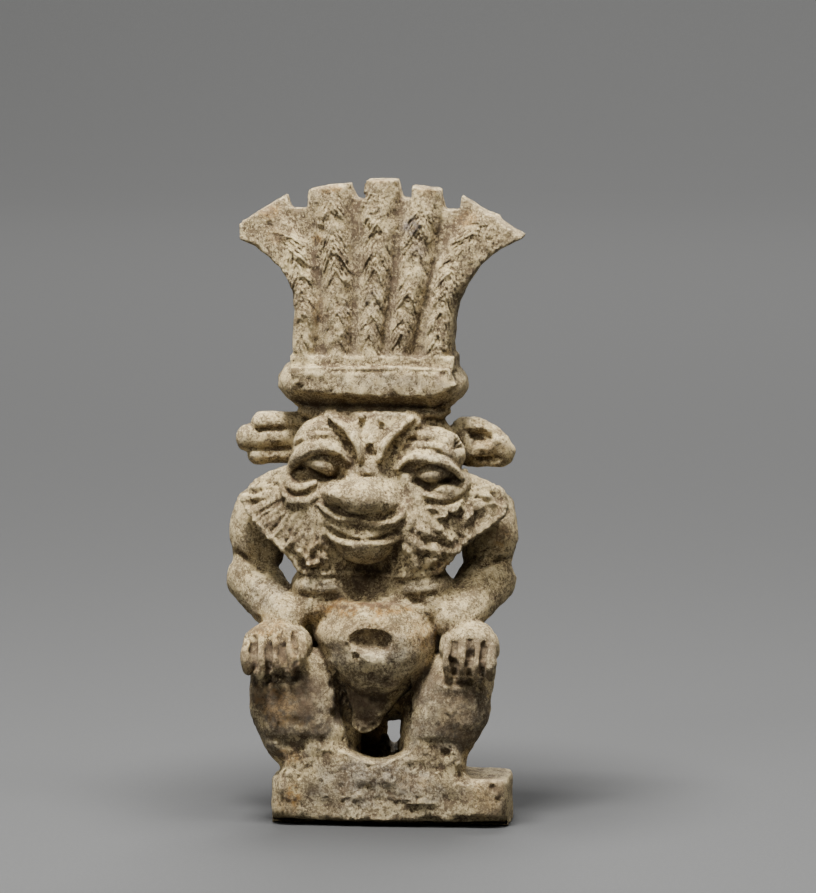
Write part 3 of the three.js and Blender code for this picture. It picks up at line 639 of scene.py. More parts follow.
# %% Carve the plumes
face = 0.62 * rib + barbs - 0.34
middle_y = -0.7
thick_foot, thick_top = 3.3, 2.2
thickness = (thick_foot + (thick_top - thick_foot) * height) / 2
for side, bulge, reach in ((-1, face, nearest), (1, 0.75 * face, furthest)):
    grid_x, grid_z = place[on_crown].T
    old_depth = side * (reach[grid_x, grid_z] * -side - middle_y)
    new_depth = thickness + bulge
    depth = side * (crown_skin[:, 1] - middle_y)
    facing = np.clip((side * outward[on_crown, 1] - 0.3) / 0.3, 0, 1)
    moved = facing * new_depth + (1 - facing) * depth * new_depth / np.maximum(old_depth, 0.6)
    weight = np.clip((crown_skin[:, 2] - crown_foot) / 0.25, 0, 1)
    moved = np.minimum(weight * moved + (1 - weight) * depth, new_depth + 0.05)
    skin[on_crown, 1] = np.where(depth > 0, middle_y + side * moved, skin[on_crown, 1])
# the cornice and the foot of the crown sit a little to the left
skin[:, 0] -= 0.22 * np.clip((skin[:, 2] - 26.6) / 2, 0, 1) * np.clip((34 - skin[:, 2]) / 4, 0, 1)

# %% [markdown]
# ## Cornice
# A block with a cornice carries the crown. Its front is a facet with a worn lower edge, and under that edge
# the stone is hollowed back to the brow, which throws the dark band over the forehead. Short upright
# scratches still show on the facet.

# %% Undercut the cornice
cornice_half = 5.8
edge_x, edge_z = [-4.85, -2.0, 1.0, 4.0, 5.6], [24.15, 23.85, 23.72, 23.8, 24.45]
below = np.interp(skin[:, 0], edge_x, edge_z) + plinth_top - skin[:, 2]
above = skin[:, 2] - 22.72 - plinth_top
under = seen & (below > 0) & (above > 0) & (abs(skin[:, 0]) < cornice_half)
towards_ends = np.clip((cornice_half - abs(skin[:, 0])) / 0.5, 0, 1)
weight = np.clip(below / 0.12, 0, 1) * np.clip(above / 0.2, 0, 1) * towards_ends
facet = seen & (below < -0.15) & (below > -0.5) & (abs(skin[:, 0]) < 4)
facet_y = float(np.median(skin[facet, 1]))
hollow_back = facet_y + 0.1 + 1.35 * np.clip(below, 0, 1)
print("cornice front at", round(facet_y, 2), "mm")
skin[under, 1] += (weight * np.clip(hollow_back - skin[:, 1], 0, 2))[under]
eased = spread(skin, edges_of(figure), 3)
skin[under] = eased[under]
line([(-4.4, 25.35), (0.2, 25.3), (4.9, 25.35)], 0.2, -0.12, taper=0.1)
for i in range(26):
    x = -4.4 + 0.36 * i + 0.2 * math.sin(7.0 * i)
    line([(x, 25.2 - 0.5 * (i % 3) / 2), (x + 0.05, 24.2)], 0.09, -0.05 - 0.04 * (i % 2), wobble=0.15)

# %% [markdown]
# ## Face, mane and body
# The lines of the face follow the old carving: three creases over each eye, a channel down each side of the
# bridge, and the mouth. The mane is combed in strands on one side and curled in lumps on the other. The
# belly ends below in a lip that overhangs the apron, and the navel is a drilled dish, wider than it is high.

# %% Carve the brows, the bridge and the mouth
for path, width, depth in (
    ([(-4.9, 20.35), (-4.3, 20.9), (-3.3, 21.2), (-2.2, 21.2), (-1.5, 20.9)], 0.24, 0.3),
    ([(-4.6, 21.15), (-3.8, 21.6), (-2.9, 21.75), (-1.9, 21.6)], 0.22, 0.24),
    ([(-4.1, 21.85), (-3.2, 22.2), (-2.3, 22.1)], 0.2, 0.2),
    ([(2.0, 20.45), (3.0, 20.6), (4.2, 20.5), (5.2, 20.0), (5.7, 19.4)], 0.22, 0.26),
    ([(2.1, 21.0), (3.2, 21.2), (4.4, 21.05), (5.4, 20.5)], 0.22, 0.26),
    ([(2.4, 21.6), (3.4, 21.8), (4.3, 21.6), (5.0, 21.2)], 0.2, 0.2),
    ([(3.0, 22.2), (3.9, 22.25), (4.6, 21.9)], 0.17, 0.15),
    ([(-3.0, 22.6), (-2.2, 21.75), (-1.55, 20.9), (-1.2, 20.0), (-1.1, 19.2)], 0.36, 0.2),
    ([(3.2, 22.4), (2.4, 21.4), (1.75, 20.6), (1.4, 19.9), (1.2, 19.2)], 0.36, 0.2),
    ([(0.1, 20.9), (0.15, 20.3), (0.2, 19.9)], 0.42, 0.34),
    ([(-0.9, 18.95), (0.0, 18.85), (0.9, 18.8)], 0.26, 0.2),
    ([(-2.9, 17.35), (-2.2, 16.92), (-1.4, 16.62), (-0.5, 16.5), (0.4, 16.36), (1.1, 16.4), (1.8, 16.9)],
     0.16, 0.22),
    ([(-2.5, 15.75), (-1.65, 15.25), (-0.6, 15.07), (0.45, 15.07), (1.25, 15.25), (2.1, 15.7)], 0.22, 0.36),
    ([(-1.6, 16.1), (-1.5, 15.5)], 0.09, 0.06),
    ([(-0.7, 15.95), (-0.65, 15.3)], 0.09, 0.06),
    ([(0.3, 15.85), (0.35, 15.2)], 0.09, 0.06),
    ([(-0.3, 21.9), (0.1, 21.5), (0.5, 21.6)], 0.16, 0.1),
    ([(0.9, 18.95), (1.8, 18.6), (2.35, 17.8), (2.5, 17.2)], 0.55, 0.42),
    ([(-1.1, 18.95), (-2.1, 18.7), (-2.9, 18.1)], 0.42, 0.32),
):
    line(path, width, -depth)
line([(1.0, 17.1), (1.5, 16.95)], 0.42, -0.2)
for side, x, z in eyes:
    line([(x - 1.0, z + 0.2), (x, z + 0.62), (x + 1.0, z + 0.3)], 0.14, -0.16)
    line([(x - 1.1, z - 0.3), (x, z - 0.72), (x + 1.1, z - 0.3)], 0.3, -0.26)

# %% Find the mane
def inside_outline(corners, x, z):
    """True for each place inside a closed outline."""
    inside = np.zeros(len(x), bool)
    for (x1, z1), (x2, z2) in zip(corners, corners[1:] + corners[:1]):
        crosses = (z1 > z) != (z2 > z)
        slope = (x2 - x1) / (z2 - z1 if z2 != z1 else 1e-9)
        inside ^= crosses & (x < slope * (z - z1) + x1)
    return inside


def outside_egg(x, z, half_x, half_z):
    """0 inside a patch of the front and 1 outside it, with a soft edge."""
    reach = np.hypot((skin[:, 0] - x) / half_x, (skin[:, 2] - plinth_top - z) / half_z)
    return np.clip((reach - 0.92) / 0.16, 0, 1)


on_mane = seen & inside_outline(mane_rim, skin[:, 0], skin[:, 2] - plinth_top)
hair = (on_mane * outside_egg(-0.25, 16.2, 2.75, 3.4) * outside_egg(-4.1, 18.6, 1.65, 1.55)
        * outside_egg(4.6, 18.7, 1.75, 1.85))
print(int(on_mane.sum()), "points of skin on the mane")

# %% Comb the mane in strands
generator = np.random.default_rng(11)
left_root, right_root = (-3.1, 18.3), (3.3, 17.9)
for (root_x, root_z), side, strands, width, depth in (
    (left_root, -1, 15, 0.3, 0.24), (left_root, -1, 34, 0.15, 0.12),
    (right_root, 1, 9, 0.26, 0.16), (right_root, 1, 22, 0.15, 0.1),
):
    for i in range(strands):
        angle = math.radians(8 - 108 * (i + 0.6 * generator.random()) / strands)
        inner = 1.2 + 1.2 * generator.random()
        outer = inner + 2.2 + 3.6 * generator.random()
        bend = 0.35 * generator.standard_normal()
        path = []
        for step in np.linspace(0, 1, 5):
            reach = inner + (outer - inner) * step
            turn = angle + bend * (step - 0.5) * 0.5
            path.append((root_x + side * math.cos(turn) * reach, root_z + math.sin(turn) * reach))
        line(path, width * (0.8 + 0.5 * generator.random()), -depth, wobble=0.12, strength=hair)

# %% Curl the mane in lumps
def arc(x, z, radius, start, turns):
    """Points round a circle, at the given turns from a start."""
    return [(x + radius * math.cos(start + t), z + radius * math.sin(start + t)) for t in turns]


lumps = [
    (2.6, 15.9, 0.5), (3.45, 15.5, 0.55), (4.4, 15.8, 0.5), (4.6, 16.4, 0.45), (5.5, 16.9, 0.6),
    (6.2, 16.3, 0.5), (6.7, 17.0, 0.5), (7.4, 17.3, 0.4), (4.9, 15.1, 0.55), (3.2, 14.6, 0.6),
    (4.1, 14.3, 0.6), (2.5, 14.3, 0.5), (2.9, 13.6, 0.6), (3.9, 13.6, 0.5), (5.0, 14.2, 0.4),
    (-3.4, 13.4, 0.4), (-2.7, 13.6, 0.35), (-4.1, 13.9, 0.35), (-4.9, 14.6, 0.3), (-3.2, 14.5, 0.3),
]
for x, z, size in lumps:
    turn = 6.28 * generator.random()
    lean_x, lean_z = 0.25 * math.cos(turn), 0.25 * math.sin(turn)
    line([(x - lean_x, z - lean_z), (x, z), (x + lean_x, z + lean_z)], size, 0.34, taper=0, strength=hair)
    line(arc(x, z, size * 0.95, turn, (0, 1.1, 2.2, 3.3)), 0.15, -0.2, strength=hair)
    if size > 0.42:
        line(arc(x, z, size * 0.35, turn, (3.6, 4.6, 5.6)), 0.11, -0.12, strength=hair)
for first, last in ((2, 11), (10, 19)):
    rim = [(x * 0.972, 15.6 + (z - 15.6) * 0.965) for x, z in mane_rim[first:last]]
    line(rim, 0.26, 0.2, taper=0.1)

# %% Carve the belly, the chest, the arms and the hands
for path, width, height in (
    ([(-3.6, 10.7), (-2.4, 11.1), (0.2, 11.25), (2.8, 11.1), (4.3, 10.6)], 0.34, -0.24),
    ([(-3.4, 10.45), (-2.2, 10.8), (0.2, 10.95), (2.8, 10.8), (3.9, 10.35)], 0.3, 0.12),
    ([(-4.3, 11.45), (-3.2, 11.3), (-1.4, 11.5)], 0.22, -0.13),
    ([(1.9, 12.2), (3.2, 12.05), (4.5, 12.3)], 0.2, -0.12),
    ([(1.6, 11.5), (3.0, 11.4), (4.4, 11.6)], 0.22, -0.13),
    ([(-4.0, 12.1), (-3.0, 12.0), (-1.8, 12.1)], 0.2, -0.08),
    ([(-8.9, 13.75), (-8.2, 13.3), (-7.5, 13.0), (-6.7, 12.6)], 0.34, -0.35),
    ([(-7.8, 13.05), (-7.2, 12.8), (-6.6, 12.5)], 0.4, -0.3),
    ([(8.7, 13.4), (7.6, 13.2), (6.6, 12.9)], 0.3, -0.3),
    ([(6.6, 14.2), (7.6, 14.6), (8.3, 14.9)], 0.4, 0.14),
    ([(-8.0, 15.6), (-7.6, 14.6), (-7.2, 13.9)], 0.45, 0.14),
    ([(-8.1, 12.2), (-6.6, 11.2), (-5.4, 10.2)], 0.4, 0.12),
    ([(-6.7, 6.1), (-5.3, 6.35), (-3.9, 6.2)], 0.3, -0.3),
    ([(4.6, 6.2), (5.6, 6.1), (6.8, 6.1)], 0.3, -0.28),
    ([(-6.4, 2.55), (-4.6, 2.2), (-2.6, 2.3)], 0.22, -0.2),
    ([(3.2, 2.4), (4.5, 2.5), (5.9, 2.2)], 0.18, -0.14),
):
    line(path, width, height)
for path in (
    [(-7.0, 9.0), (-6.95, 8.0), (-6.8, 6.9)], [(-6.2, 9.2), (-6.05, 8.0), (-5.95, 6.5)],
    [(-5.3, 9.3), (-5.15, 8.0), (-4.9, 6.6)], [(-4.5, 9.3), (-4.35, 8.2), (-4.2, 7.2)],
    [(5.45, 8.9), (5.4, 7.8), (5.45, 6.6)], [(6.4, 9.0), (6.45, 7.8), (6.4, 6.4)],
    [(7.25, 8.8), (7.3, 7.7), (7.2, 6.5)],
):
    line(path, 0.3, -0.46, wobble=0.12)

# %% Carve the ears and the plain back
line([(-5.3, 21.35), (-6.4, 21.35), (-7.8, 21.3)], 0.2, -0.16, taper=0.2)
line([(-5.3, 20.15), (-6.6, 20.1), (-8.3, 20.15)], 0.2, -0.16, taper=0.2)
line([(5.3, 20.95), (6.3, 21.0), (7.5, 20.95)], 0.66, -1.0)
line([(6.1, 22.0), (6.9, 21.75), (7.7, 21.2)], 0.17, -0.16)
line([(6.2, 21.6), (6.7, 21.55), (7.3, 21.3)], 0.26, 0.14)
line([(6.2, 20.0), (7.1, 20.3), (7.8, 20.75), (8.4, 20.3)], 0.45, 0.2, wobble=0.2)
line([(6.0, 19.55), (7.0, 19.5), (8.0, 19.7)], 0.32, -0.5)
line([(6.6, 19.1), (7.6, 19.3), (8.4, 19.5)], 0.18, 0.14)
for i in range(17):
    x = -5.2 + 0.65 * i + 0.3 * generator.random()
    low_end = 13.2 + 1.8 * (x / 5.5) ** 2 + generator.random()
    strand = [(x * 0.92, 22.4), (x, 19.0), (x * 1.1, low_end)]
    line(strand, 0.2, -0.16, taper=0.12, wobble=0.3, where=seen_behind)
line([(0.0, 13.0), (-0.1, 10.0), (-0.4, 7.0)], 0.45, -0.22, where=seen_behind)
for side in (-1, 1):
    line([(-0.8 + side * 1.5, 6.6), (-0.9 + side * 1.35, 3.0), (-0.9 + side * 1.5, -0.2)], 0.3, -0.25,
         where=seen_behind)

# %% Put the cuts into the skin
rough = 0.06 * noise(skin, 1.6) + 0.055 * noise(skin, 0.6, 4.0) + 0.03 * noise(skin, 0.26, 6.0)
ragged_end = np.clip(1 - np.hypot((skin[:, 0] + 0.1) / 2.0, (skin[:, 2] - 7.0) / 2.4), 0, 1) * seen
rough += ragged_end * (0.25 * noise(skin, 0.8, 3.0) + 0.16 * noise(skin, 0.35, 5.0))
for side, x, z in eyes:
    rough *= 0.3 + 0.7 * np.clip(np.hypot(skin[:, 0] - x, skin[:, 2] - plinth_top - z) - 0.7, 0, 1)
skin += outward * (cut + lift + rough)[:, None]
print("deepest cut", round(float(cut.min()), 2), "mm, highest ridge", round(float(lift.max()), 2), "mm")

# %% Set the apron back and drill the navel
set_back = 0.55
lip_x, lip_heights = [-1.9, -0.9, 0.0, 1.0, 1.8, 2.6], [6.9, 5.85, 5.4, 5.45, 5.8, 6.6]
lip_z = np.interp(skin[:, 0], lip_x, lip_heights) + plinth_top
lip_z = lip_z + 0.12 * noise(skin * (1, 0, 0), 0.7, 5.0)
under_lip = np.clip((lip_z - skin[:, 2]) / 0.3, 0, 1) * np.clip((skin[:, 2] - plinth_top - 3.2) / 0.5, 0, 1)
under_lip *= seen & (abs(skin[:, 0] - 0.3) < 2.4) & (skin[:, 1] < -3.6)
skin[:, 1] += set_back * under_lip
scoop(skin, 0.3, -6.35, 8.82, (1.62, 1.0, 0.88))
scoop(skin, 0.75, -6.35, 8.7, (1.1, 0.95, 0.85))
put_back(figure, skin)
print(int((under_lip > 0.5).sum()), "points of skin set back under the belly")

# %% [markdown]
# ## Breaks and chips
# The feet are gone, and their mass in front is broken nearly flat. The lower corners of the plinth are worn
# round. The apron's end is ragged, edges are nicked, and small pits show all over. A chip is one round
# hollow: the skin inside a ball is pushed back to the ball's far side, as stone comes away in shells.

# %% Break the front of the base
broken_top = 2.75
low_z = skin[:, 2] - plinth_top
# the lower front edge is worn clear of the ground
lip = 0.22 + 0.5 * np.clip(abs(skin[:, 0] - 1) / 7.5, 0, 1) ** 2 + 0.12 * noise(skin * (1, 0, 0), 0.9, 2.0)
skin[:, 1] += np.clip(1.0 - skin[:, 2] / lip, 0, 1) ** 0.7 * (skin[:, 1] < -3.8)
break_face = (-4.9 + 0.17 * noise(skin, 1.7, 2.0) + 0.09 * noise(skin, 0.6, 7.0)
              + 0.05 * noise(skin, 0.25, 1.0) + 0.1 * np.clip(low_z, 0, 3))
fade = np.clip((broken_top - low_z) / 0.7, 0, 1)
broken = seen & (low_z < broken_top) & (skin[:, 1] < break_face)
skin[broken, 1] += ((break_face - skin[:, 1]) * fade)[broken]
for x, top, depth in (
    (-5.2, 0.5, 0.22), (-5.6, 0.3, 0.15), (-4.85, 0.2, 0.14), (-4.5, 0.9, 0.12), (5.9, -0.3, 0.14),
    (6.2, -0.8, 0.12),
):
    cut[:] = 0
    line([(x, top), (x + 0.08, top - 1.2), (x - 0.05, -2.7)], 0.18, -depth, taper=0.15, wobble=0.12)
    skin[:, 1] -= cut

# %% Wear the corners of the plinth round
eased = spread(skin, edges_of(figure), 40)
worn = np.clip((0.3 - low_z) / 0.4, 0, 1) * np.clip((skin[:, 2] - 0.15) / 0.3, 0, 1)
worn *= (abs(skin[:, 0] - 1.3) > 3) * (0.6 + 0.3 * noise(skin, 1.5, 4.0))
skin += (eased - skin) * np.clip(worn, 0, 1)[:, None]

# %% Chip the edges
from mathutils.kdtree import KDTree

tree = KDTree(count)
for index, point in enumerate(skin):
    tree.insert(point, index)
tree.balance()


def chip(place, facing, radius, depth):
    """Strikes a shell of stone off at a place, seen from the way it faces."""
    facing = np.array(facing, float) / np.linalg.norm(facing)
    centre = np.array(place) + facing * (radius - depth)
    found = [index for _, index, _ in tree.find_range(centre, radius + 0.4)]
    if not found:
        return
    away = skin[found] - centre
    along = away @ facing
    under_root = along**2 - (away**2).sum(axis=1) + radius**2
    hit = (away**2).sum(axis=1) < radius**2
    push = np.where(hit, along + np.sqrt(np.clip(under_root, 0, None)), 0)
    skin[found] -= facing * np.minimum(push, 2 * depth)[:, None]


def struck(x, z):
    """The place on the front at x, and z from the plinth's top."""
    return (x, nearest[cell_at(x, z)], z + plinth_top)


nearest, _ = front_grid(skin)
for i in range(20):
    x = -5.8 + 14.2 * generator.random()
    size = 0.5 + 1.0 * generator.random() ** 2
    facing = (0.5 * generator.standard_normal(), -1, -1.1)
    chip((x, -4.75, 0.1 + 0.5 * generator.random()), facing, size, 0.1 + 0.12 * generator.random())
for x, y, z, facing, size, depth in (
    (8.9, -4.7, 2.9, (1, -1, 1), 1.2, 0.3), (8.9, -4.9, 0.2, (1, -1, -0.6), 1.0, 0.22),
    (6.0, -4.9, 2.9, (0, -1, 1), 0.9, 0.2), (8.9, -4.8, 1.6, (1, -1, 0), 1.3, 0.2),
    (-5.9, -4.8, 2.6, (-1, -1, 0.6), 1.1, 0.3), (-5.9, -4.8, 0.2, (-1, -1, -0.4), 1.2, 0.25),
    (7.5, -4.9, 3.1, (0, -1, 1), 1.2, 0.2),
):
    chip((x, y, z), facing, size, depth)
for x, z, size, depth in (
    (0.38, 6.45, 0.5, 0.22), (1.35, 6.15, 0.36, 0.24), (1.5, 6.0, 0.22, 0.14),
    (4.9, 1.7, 0.4, 0.2), (5.1, 1.55, 0.25, 0.16), (-0.7, 7.75, 0.5, 0.18), (0.4, 7.75, 0.6, 0.15),
    (-0.9, 3.3, 0.6, 0.3), (0.5, 3.2, 0.6, 0.35), (-0.2, 2.9, 0.5, 0.3), (-0.8, 4.6, 0.5, 0.2),
    (0.4, 4.9, 0.6, 0.2), (-3.9, 2.3, 0.6, 0.15), (-2.7, 2.4, 0.5, 0.15), (3.2, 2.4, 0.5, 0.15),
    (7.9, -0.4, 0.4, 0.2), (8.3, -1.2, 0.4, 0.2), (2.7, 0.8, 0.5, 0.12), (-6.9, 5.6, 0.5, 0.12),
    (-4.4, 24.2, 0.5, 0.2), (-1.2, 25.4, 0.35, 0.12), (1.8, 25.4, 0.3, 0.1), (4.6, 25.2, 0.5, 0.2),
    (5.2, 24.8, 0.4, 0.15), (3.4, 23.9, 0.4, 0.1), (-2.6, 23.95, 0.4, 0.1),
):
    chip(struck(x, z), (0, -1, 0), size, depth)

# %% Nick what stands proud, and pit the rest
edges = edges_of(figure)
smooth_skin = spread(skin, edges, 8)
bulge = ((skin - smooth_skin) * outward).sum(axis=1)
proud = np.flatnonzero(bulge > np.quantile(bulge, 0.97))
for index in generator.choice(proud, 230, replace=False):
    chip(skin[index], outward[index], 0.25 + 0.5 * generator.random(), 0.05 + 0.09 * generator.random())
for index in generator.choice(count, 700, replace=False):
    chip(skin[index], outward[index], 0.08 + 0.1 * generator.random(), 0.05 + 0.05 * generator.random())
# nothing may stand past the frame's box
limits = 1000 * np.array([list(frame_low), list(frame_high)])
margin = 0.002
skin = np.clip(skin, limits[0] + margin, limits[1] - margin)
put_back(figure, skin)

# %% Thin the mesh where it is flat
most_triangles = 190000
bpy.context.view_layer.update()
triangles = sum(len(polygon.vertices) - 2 for polygon in figure.data.polygons)
thin = figure.modifiers.new("thin", "DECIMATE")
thin.ratio = most_triangles / triangles
select_only(figure)
bpy.ops.object.modifier_apply(modifier=thin.name)
print("thinned from", triangles, "to", len(figure.data.polygons), "triangles")

# %% [markdown]
# ## Age and painted shade
# Earth has stayed in the hollows, edges are rubbed pale, and there are rust-brown stains and grey patches.
# A painted shade lies over the legs, the base, the waist, the eye sockets, parts of the face and mane, and
# under the cornice. Brown fills the channels between the plumes, shade is painted on the low step of each
# barb, and one umber patch is a painted shadow under the chin. Each is measured on the finished skin and kept
# as an attribute, a number on each point, which the stone then reads.

# %% Measure hollows, edges and shelter
from mathutils.bvhtree import BVHTree

skin = np.clip(points_of(figure), limits[0] + margin, limits[1] - margin)
put_back(figure, skin)
count = len(skin)
edges = edges_of(figure)
outward = normals_of(figure)
near_sunk = ((spread(skin, edges, 3) - skin) * outward).sum(axis=1)
wide_sunk = ((spread(skin, edges, 30) - skin) * outward).sum(axis=1)
hollow = np.clip(near_sunk / 0.05, 0, 1) * 0.6 + np.clip(wide_sunk / 0.3, 0, 1) * 0.7
rubbed = np.clip(-near_sunk / 0.045, 0, 1) * 0.6 + np.clip(-wide_sunk / 0.3, 0, 1) * 0.5

tree = BVHTree.FromPolygons([Vector(p) for p in skin], [tuple(p.vertices) for p in figure.data.polygons])
way_count = 14
ways = np.random.default_rng(5).standard_normal((way_count, 3))
ways /= np.linalg.norm(ways, axis=1, keepdims=True)
shelter = np.zeros(count)
reach = 5.0
for way in ways:
    turned = outward * 1.05 + way
    turned /= np.linalg.norm(turned, axis=1, keepdims=True)
    for index in range(count):
        hit = tree.ray_cast(Vector(skin[index] + outward[index] * 0.03), Vector(turned[index]), reach)
        if hit[3] is not None:
            shelter[index] += (1 - hit[3] / reach) / way_count
shelter = spread(shelter, edges, 2)
print("hollow", round(float(hollow.mean()), 3), "rubbed", round(float(rubbed.mean()), 3), "shelter",
      round(float(shelter.mean()), 3))

# %% Lay the stains and the painted shade
nearest, place = front_grid(skin)
seen = (skin[:, 1] < nearest[place[:, 0], place[:, 1]] + seen_depth) & (outward[:, 1] < 0.3)


def stain(patches):
    """Patches of the front, each [x, z, half width, half height, strength], with ragged edges."""
    total = np.zeros(count)
    ragged = 0.4 * noise(skin, 0.9, 3.0) + 0.28 * noise(skin, 0.3, 1.0)
    for x, z, half_x, half_z, strength in patches:
        reach = np.hypot((skin[:, 0] - x) / half_x, (skin[:, 2] - plinth_top - z) / half_z) + ragged
        total = np.maximum(total, strength * np.clip((1.15 - reach) / 0.4, 0, 1))
    return total * seen


rust = stain([
    (-2.0, 10.5, 1.7, 0.5, 1.0), (-1.2, 10.9, 1.2, 0.35, 0.9), (1.3, 10.6, 1.7, 0.4, 0.9),
    (-5.5, 8.6, 1.0, 0.5, 0.6), (0.9, 10.8, 1.1, 0.35, 0.9), (-3.3, 9.6, 0.6, 0.9, 0.45),
    (3.4, 9.1, 0.9, 1.0, 0.6), (0.2, 9.7, 3.2, 0.9, 0.35), (-6.6, 9.3, 1.3, 0.6, 0.75),
    (-4.6, 8.0, 1.0, 1.3, 0.5), (-6.3, 7.7, 1.6, 1.2, 0.35), (-5.6, 4.6, 1.5, 1.5, 0.6),
    (-4.2, 4.0, 1.2, 1.3, 0.35), (-4.8, 1.2, 0.7, 0.7, 0.8), (-4.6, -1.0, 0.5, 1.0, 0.9),
    (-5.4, -1.6, 0.6, 0.7, 0.4), (7.4, -1.0, 1.4, 1.3, 0.45), (7.0, 0.0, 1.2, 0.3, 0.3),
    (3.0, -0.2, 1.0, 0.5, 0.35), (-2.6, 36.6, 1.1, 0.35, 0.7), (0.5, 37.1, 0.9, 0.25, 0.6),
    (3.4, 36.4, 0.7, 0.35, 0.6), (-6.4, 35.2, 0.6, 0.5, 0.7), (-5.9, 33.6, 0.7, 0.5, 0.5),
    (-3.4, 33.4, 0.4, 0.4, 0.8), (5.9, 34.6, 0.7, 0.5, 0.7), (-3.3, 29.0, 0.4, 1.0, 0.4),
    (7.2, 20.4, 1.1, 0.5, 0.4), (8.0, 14.9, 0.6, 1.0, 0.6), (4.5, 13.2, 0.6, 0.6, 0.5),
    (-3.3, 14.1, 0.7, 0.9, 0.35), (-5.3, 17.9, 1.2, 0.5, 0.25), (5.8, 7.2, 1.6, 1.4, 0.25),
    (5.3, 4.0, 1.2, 1.4, 0.25),
])
# umber stains; the patch at x -0.05, z 12.2 is a painted shadow under the chin
umber_and_chin_shadow = stain([
    (0.9, 10.95, 1.3, 0.25, 0.8), (0.38, 8.75, 1.35, 0.75, 0.5), (1.45, 6.2, 0.5, 0.4, 0.8),
    (0.4, 6.6, 0.4, 0.35, 0.8), (-0.2, 4.6, 1.3, 1.2, 0.75), (-2.9, 4.0, 1.0, 1.6, 0.35),
    (4.9, 1.7, 0.35, 0.3, 1.0), (8.3, -1.2, 0.35, 1.2, 0.5), (-5.25, -0.2, 0.3, 0.6, 0.8),
    (-6.2, 7.8, 1.5, 0.9, 0.3), (7.6, 15.3, 0.5, 0.6, 0.4), (3.6, 22.0, 0.5, 0.4, 0.3),
    (4.3, 24.9, 0.35, 0.4, 0.6), (2.2, 27.5, 0.9, 0.4, 0.3), (-6.4, 35.3, 0.3, 0.3, 0.6),
    (-5.8, 34.3, 0.5, 0.25, 0.6), (-3.6, 5.2, 0.8, 1.6, 0.6), (-0.2, 4.0, 1.0, 0.9, 0.6),
    (-0.05, 12.2, 1.2, 1.0, 0.6), (-1.6, 10.75, 1.2, 0.16, 0.7), (-6.6, 5.4, 0.9, 0.8, 0.35),
    (3.2, 5.6, 0.7, 1.4, 0.35),
])
# painted shade over the legs, the base, the waist, the eye sockets, parts of the face and mane, and under the
# cornice
painted_shade = stain([
    (-5.0, 4.4, 3.2, 2.9, 0.95), (5.4, 4.2, 3.0, 2.9, 0.9), (-0.1, 4.4, 1.7, 1.5, 0.8),
    (-3.3, 19.2, 1.9, 1.0, 0.45), (4.0, 18.7, 1.9, 1.0, 0.5), (0.0, 19.1, 1.3, 0.6, 0.5),
    (0.1, 22.8, 4.4, 0.35, 0.6), (-5.9, 7.3, 2.4, 1.1, 0.5), (6.6, 7.7, 2.4, 1.7, 0.6),
    (1.2, -0.9, 8.5, 2.6, 0.38), (-0.2, 11.9, 4.6, 1.1, 0.3), (4.8, 16.2, 3.4, 3.4, 0.25),
    (-4.9, 15.6, 3.2, 2.6, 0.2), (0.0, 23.3, 5.6, 0.7, 0.4), (-0.2, 17.2, 2.8, 0.9, 0.15),
])
# brown in the channels between the plumes, and painted shade on the low step of each barb, under the barb
# above
crown_part = skin[:, 2] > crown_foot
share, gap, run, _ = plume_places(skin[crown_part])
channel_brown_and_barb_shade = np.zeros(count)
channel_brown_and_barb_shade[crown_part] = 0.8 * np.clip((abs(share) - 0.75) / 0.3, 0, 1)
barb_low_shade = 1 - barbs_at(skin[crown_part], run, 1.3 * gap, short_barb, 0.6)
channel_brown_and_barb_shade[crown_part] = np.maximum(channel_brown_and_barb_shade[crown_part], 0.6 * np.clip((barb_low_shade - 0.62) / 0.3, 0, 1))
channel_brown_and_barb_shade *= abs(outward[:, 1]) > 0.5
violet = stain([
    (2.5, 34.2, 0.55, 0.5, 0.9), (2.9, 32.9, 0.4, 0.5, 0.6), (0.2, 29.8, 0.5, 0.9, 0.5),
    (-1.7, 29.2, 0.4, 0.9, 0.35), (4.4, 30.6, 0.3, 0.3, 0.5), (-5.9, 5.0, 0.6, 0.5, 0.3),
    (0.0, 0.6, 2.0, 0.8, 0.35), (6.2, -0.6, 0.5, 0.8, 0.25),
])
grey = stain([
    (0.6, 7.3, 2.6, 1.2, 0.3), (1.9, 8.3, 1.0, 1.0, 0.6), (-1.6, 7.6, 0.9, 1.0, 0.5),
    (0.3, -0.4, 4.2, 1.6, 0.6), (4.6, 3.0, 1.6, 1.6, 0.5), (-5.6, 5.9, 0.9, 0.5, 0.5),
    (6.8, 4.4, 0.9, 1.2, 0.5), (-2.6, 3.0, 0.7, 0.6, 0.7), (-3.9, 3.7, 0.6, 0.5, 0.6),
    (-3.1, 11.8, 1.2, 0.4, 0.4), (3.2, 12.0, 1.2, 0.5, 0.4), (-6.8, 11.6, 1.4, 1.0, 0.3),
    (4.4, 19.6, 1.2, 0.9, 0.3), (0.6, 24.6, 4.0, 0.5, 0.3), (-3.1, 19.8, 1.2, 0.6, 0.25),
])
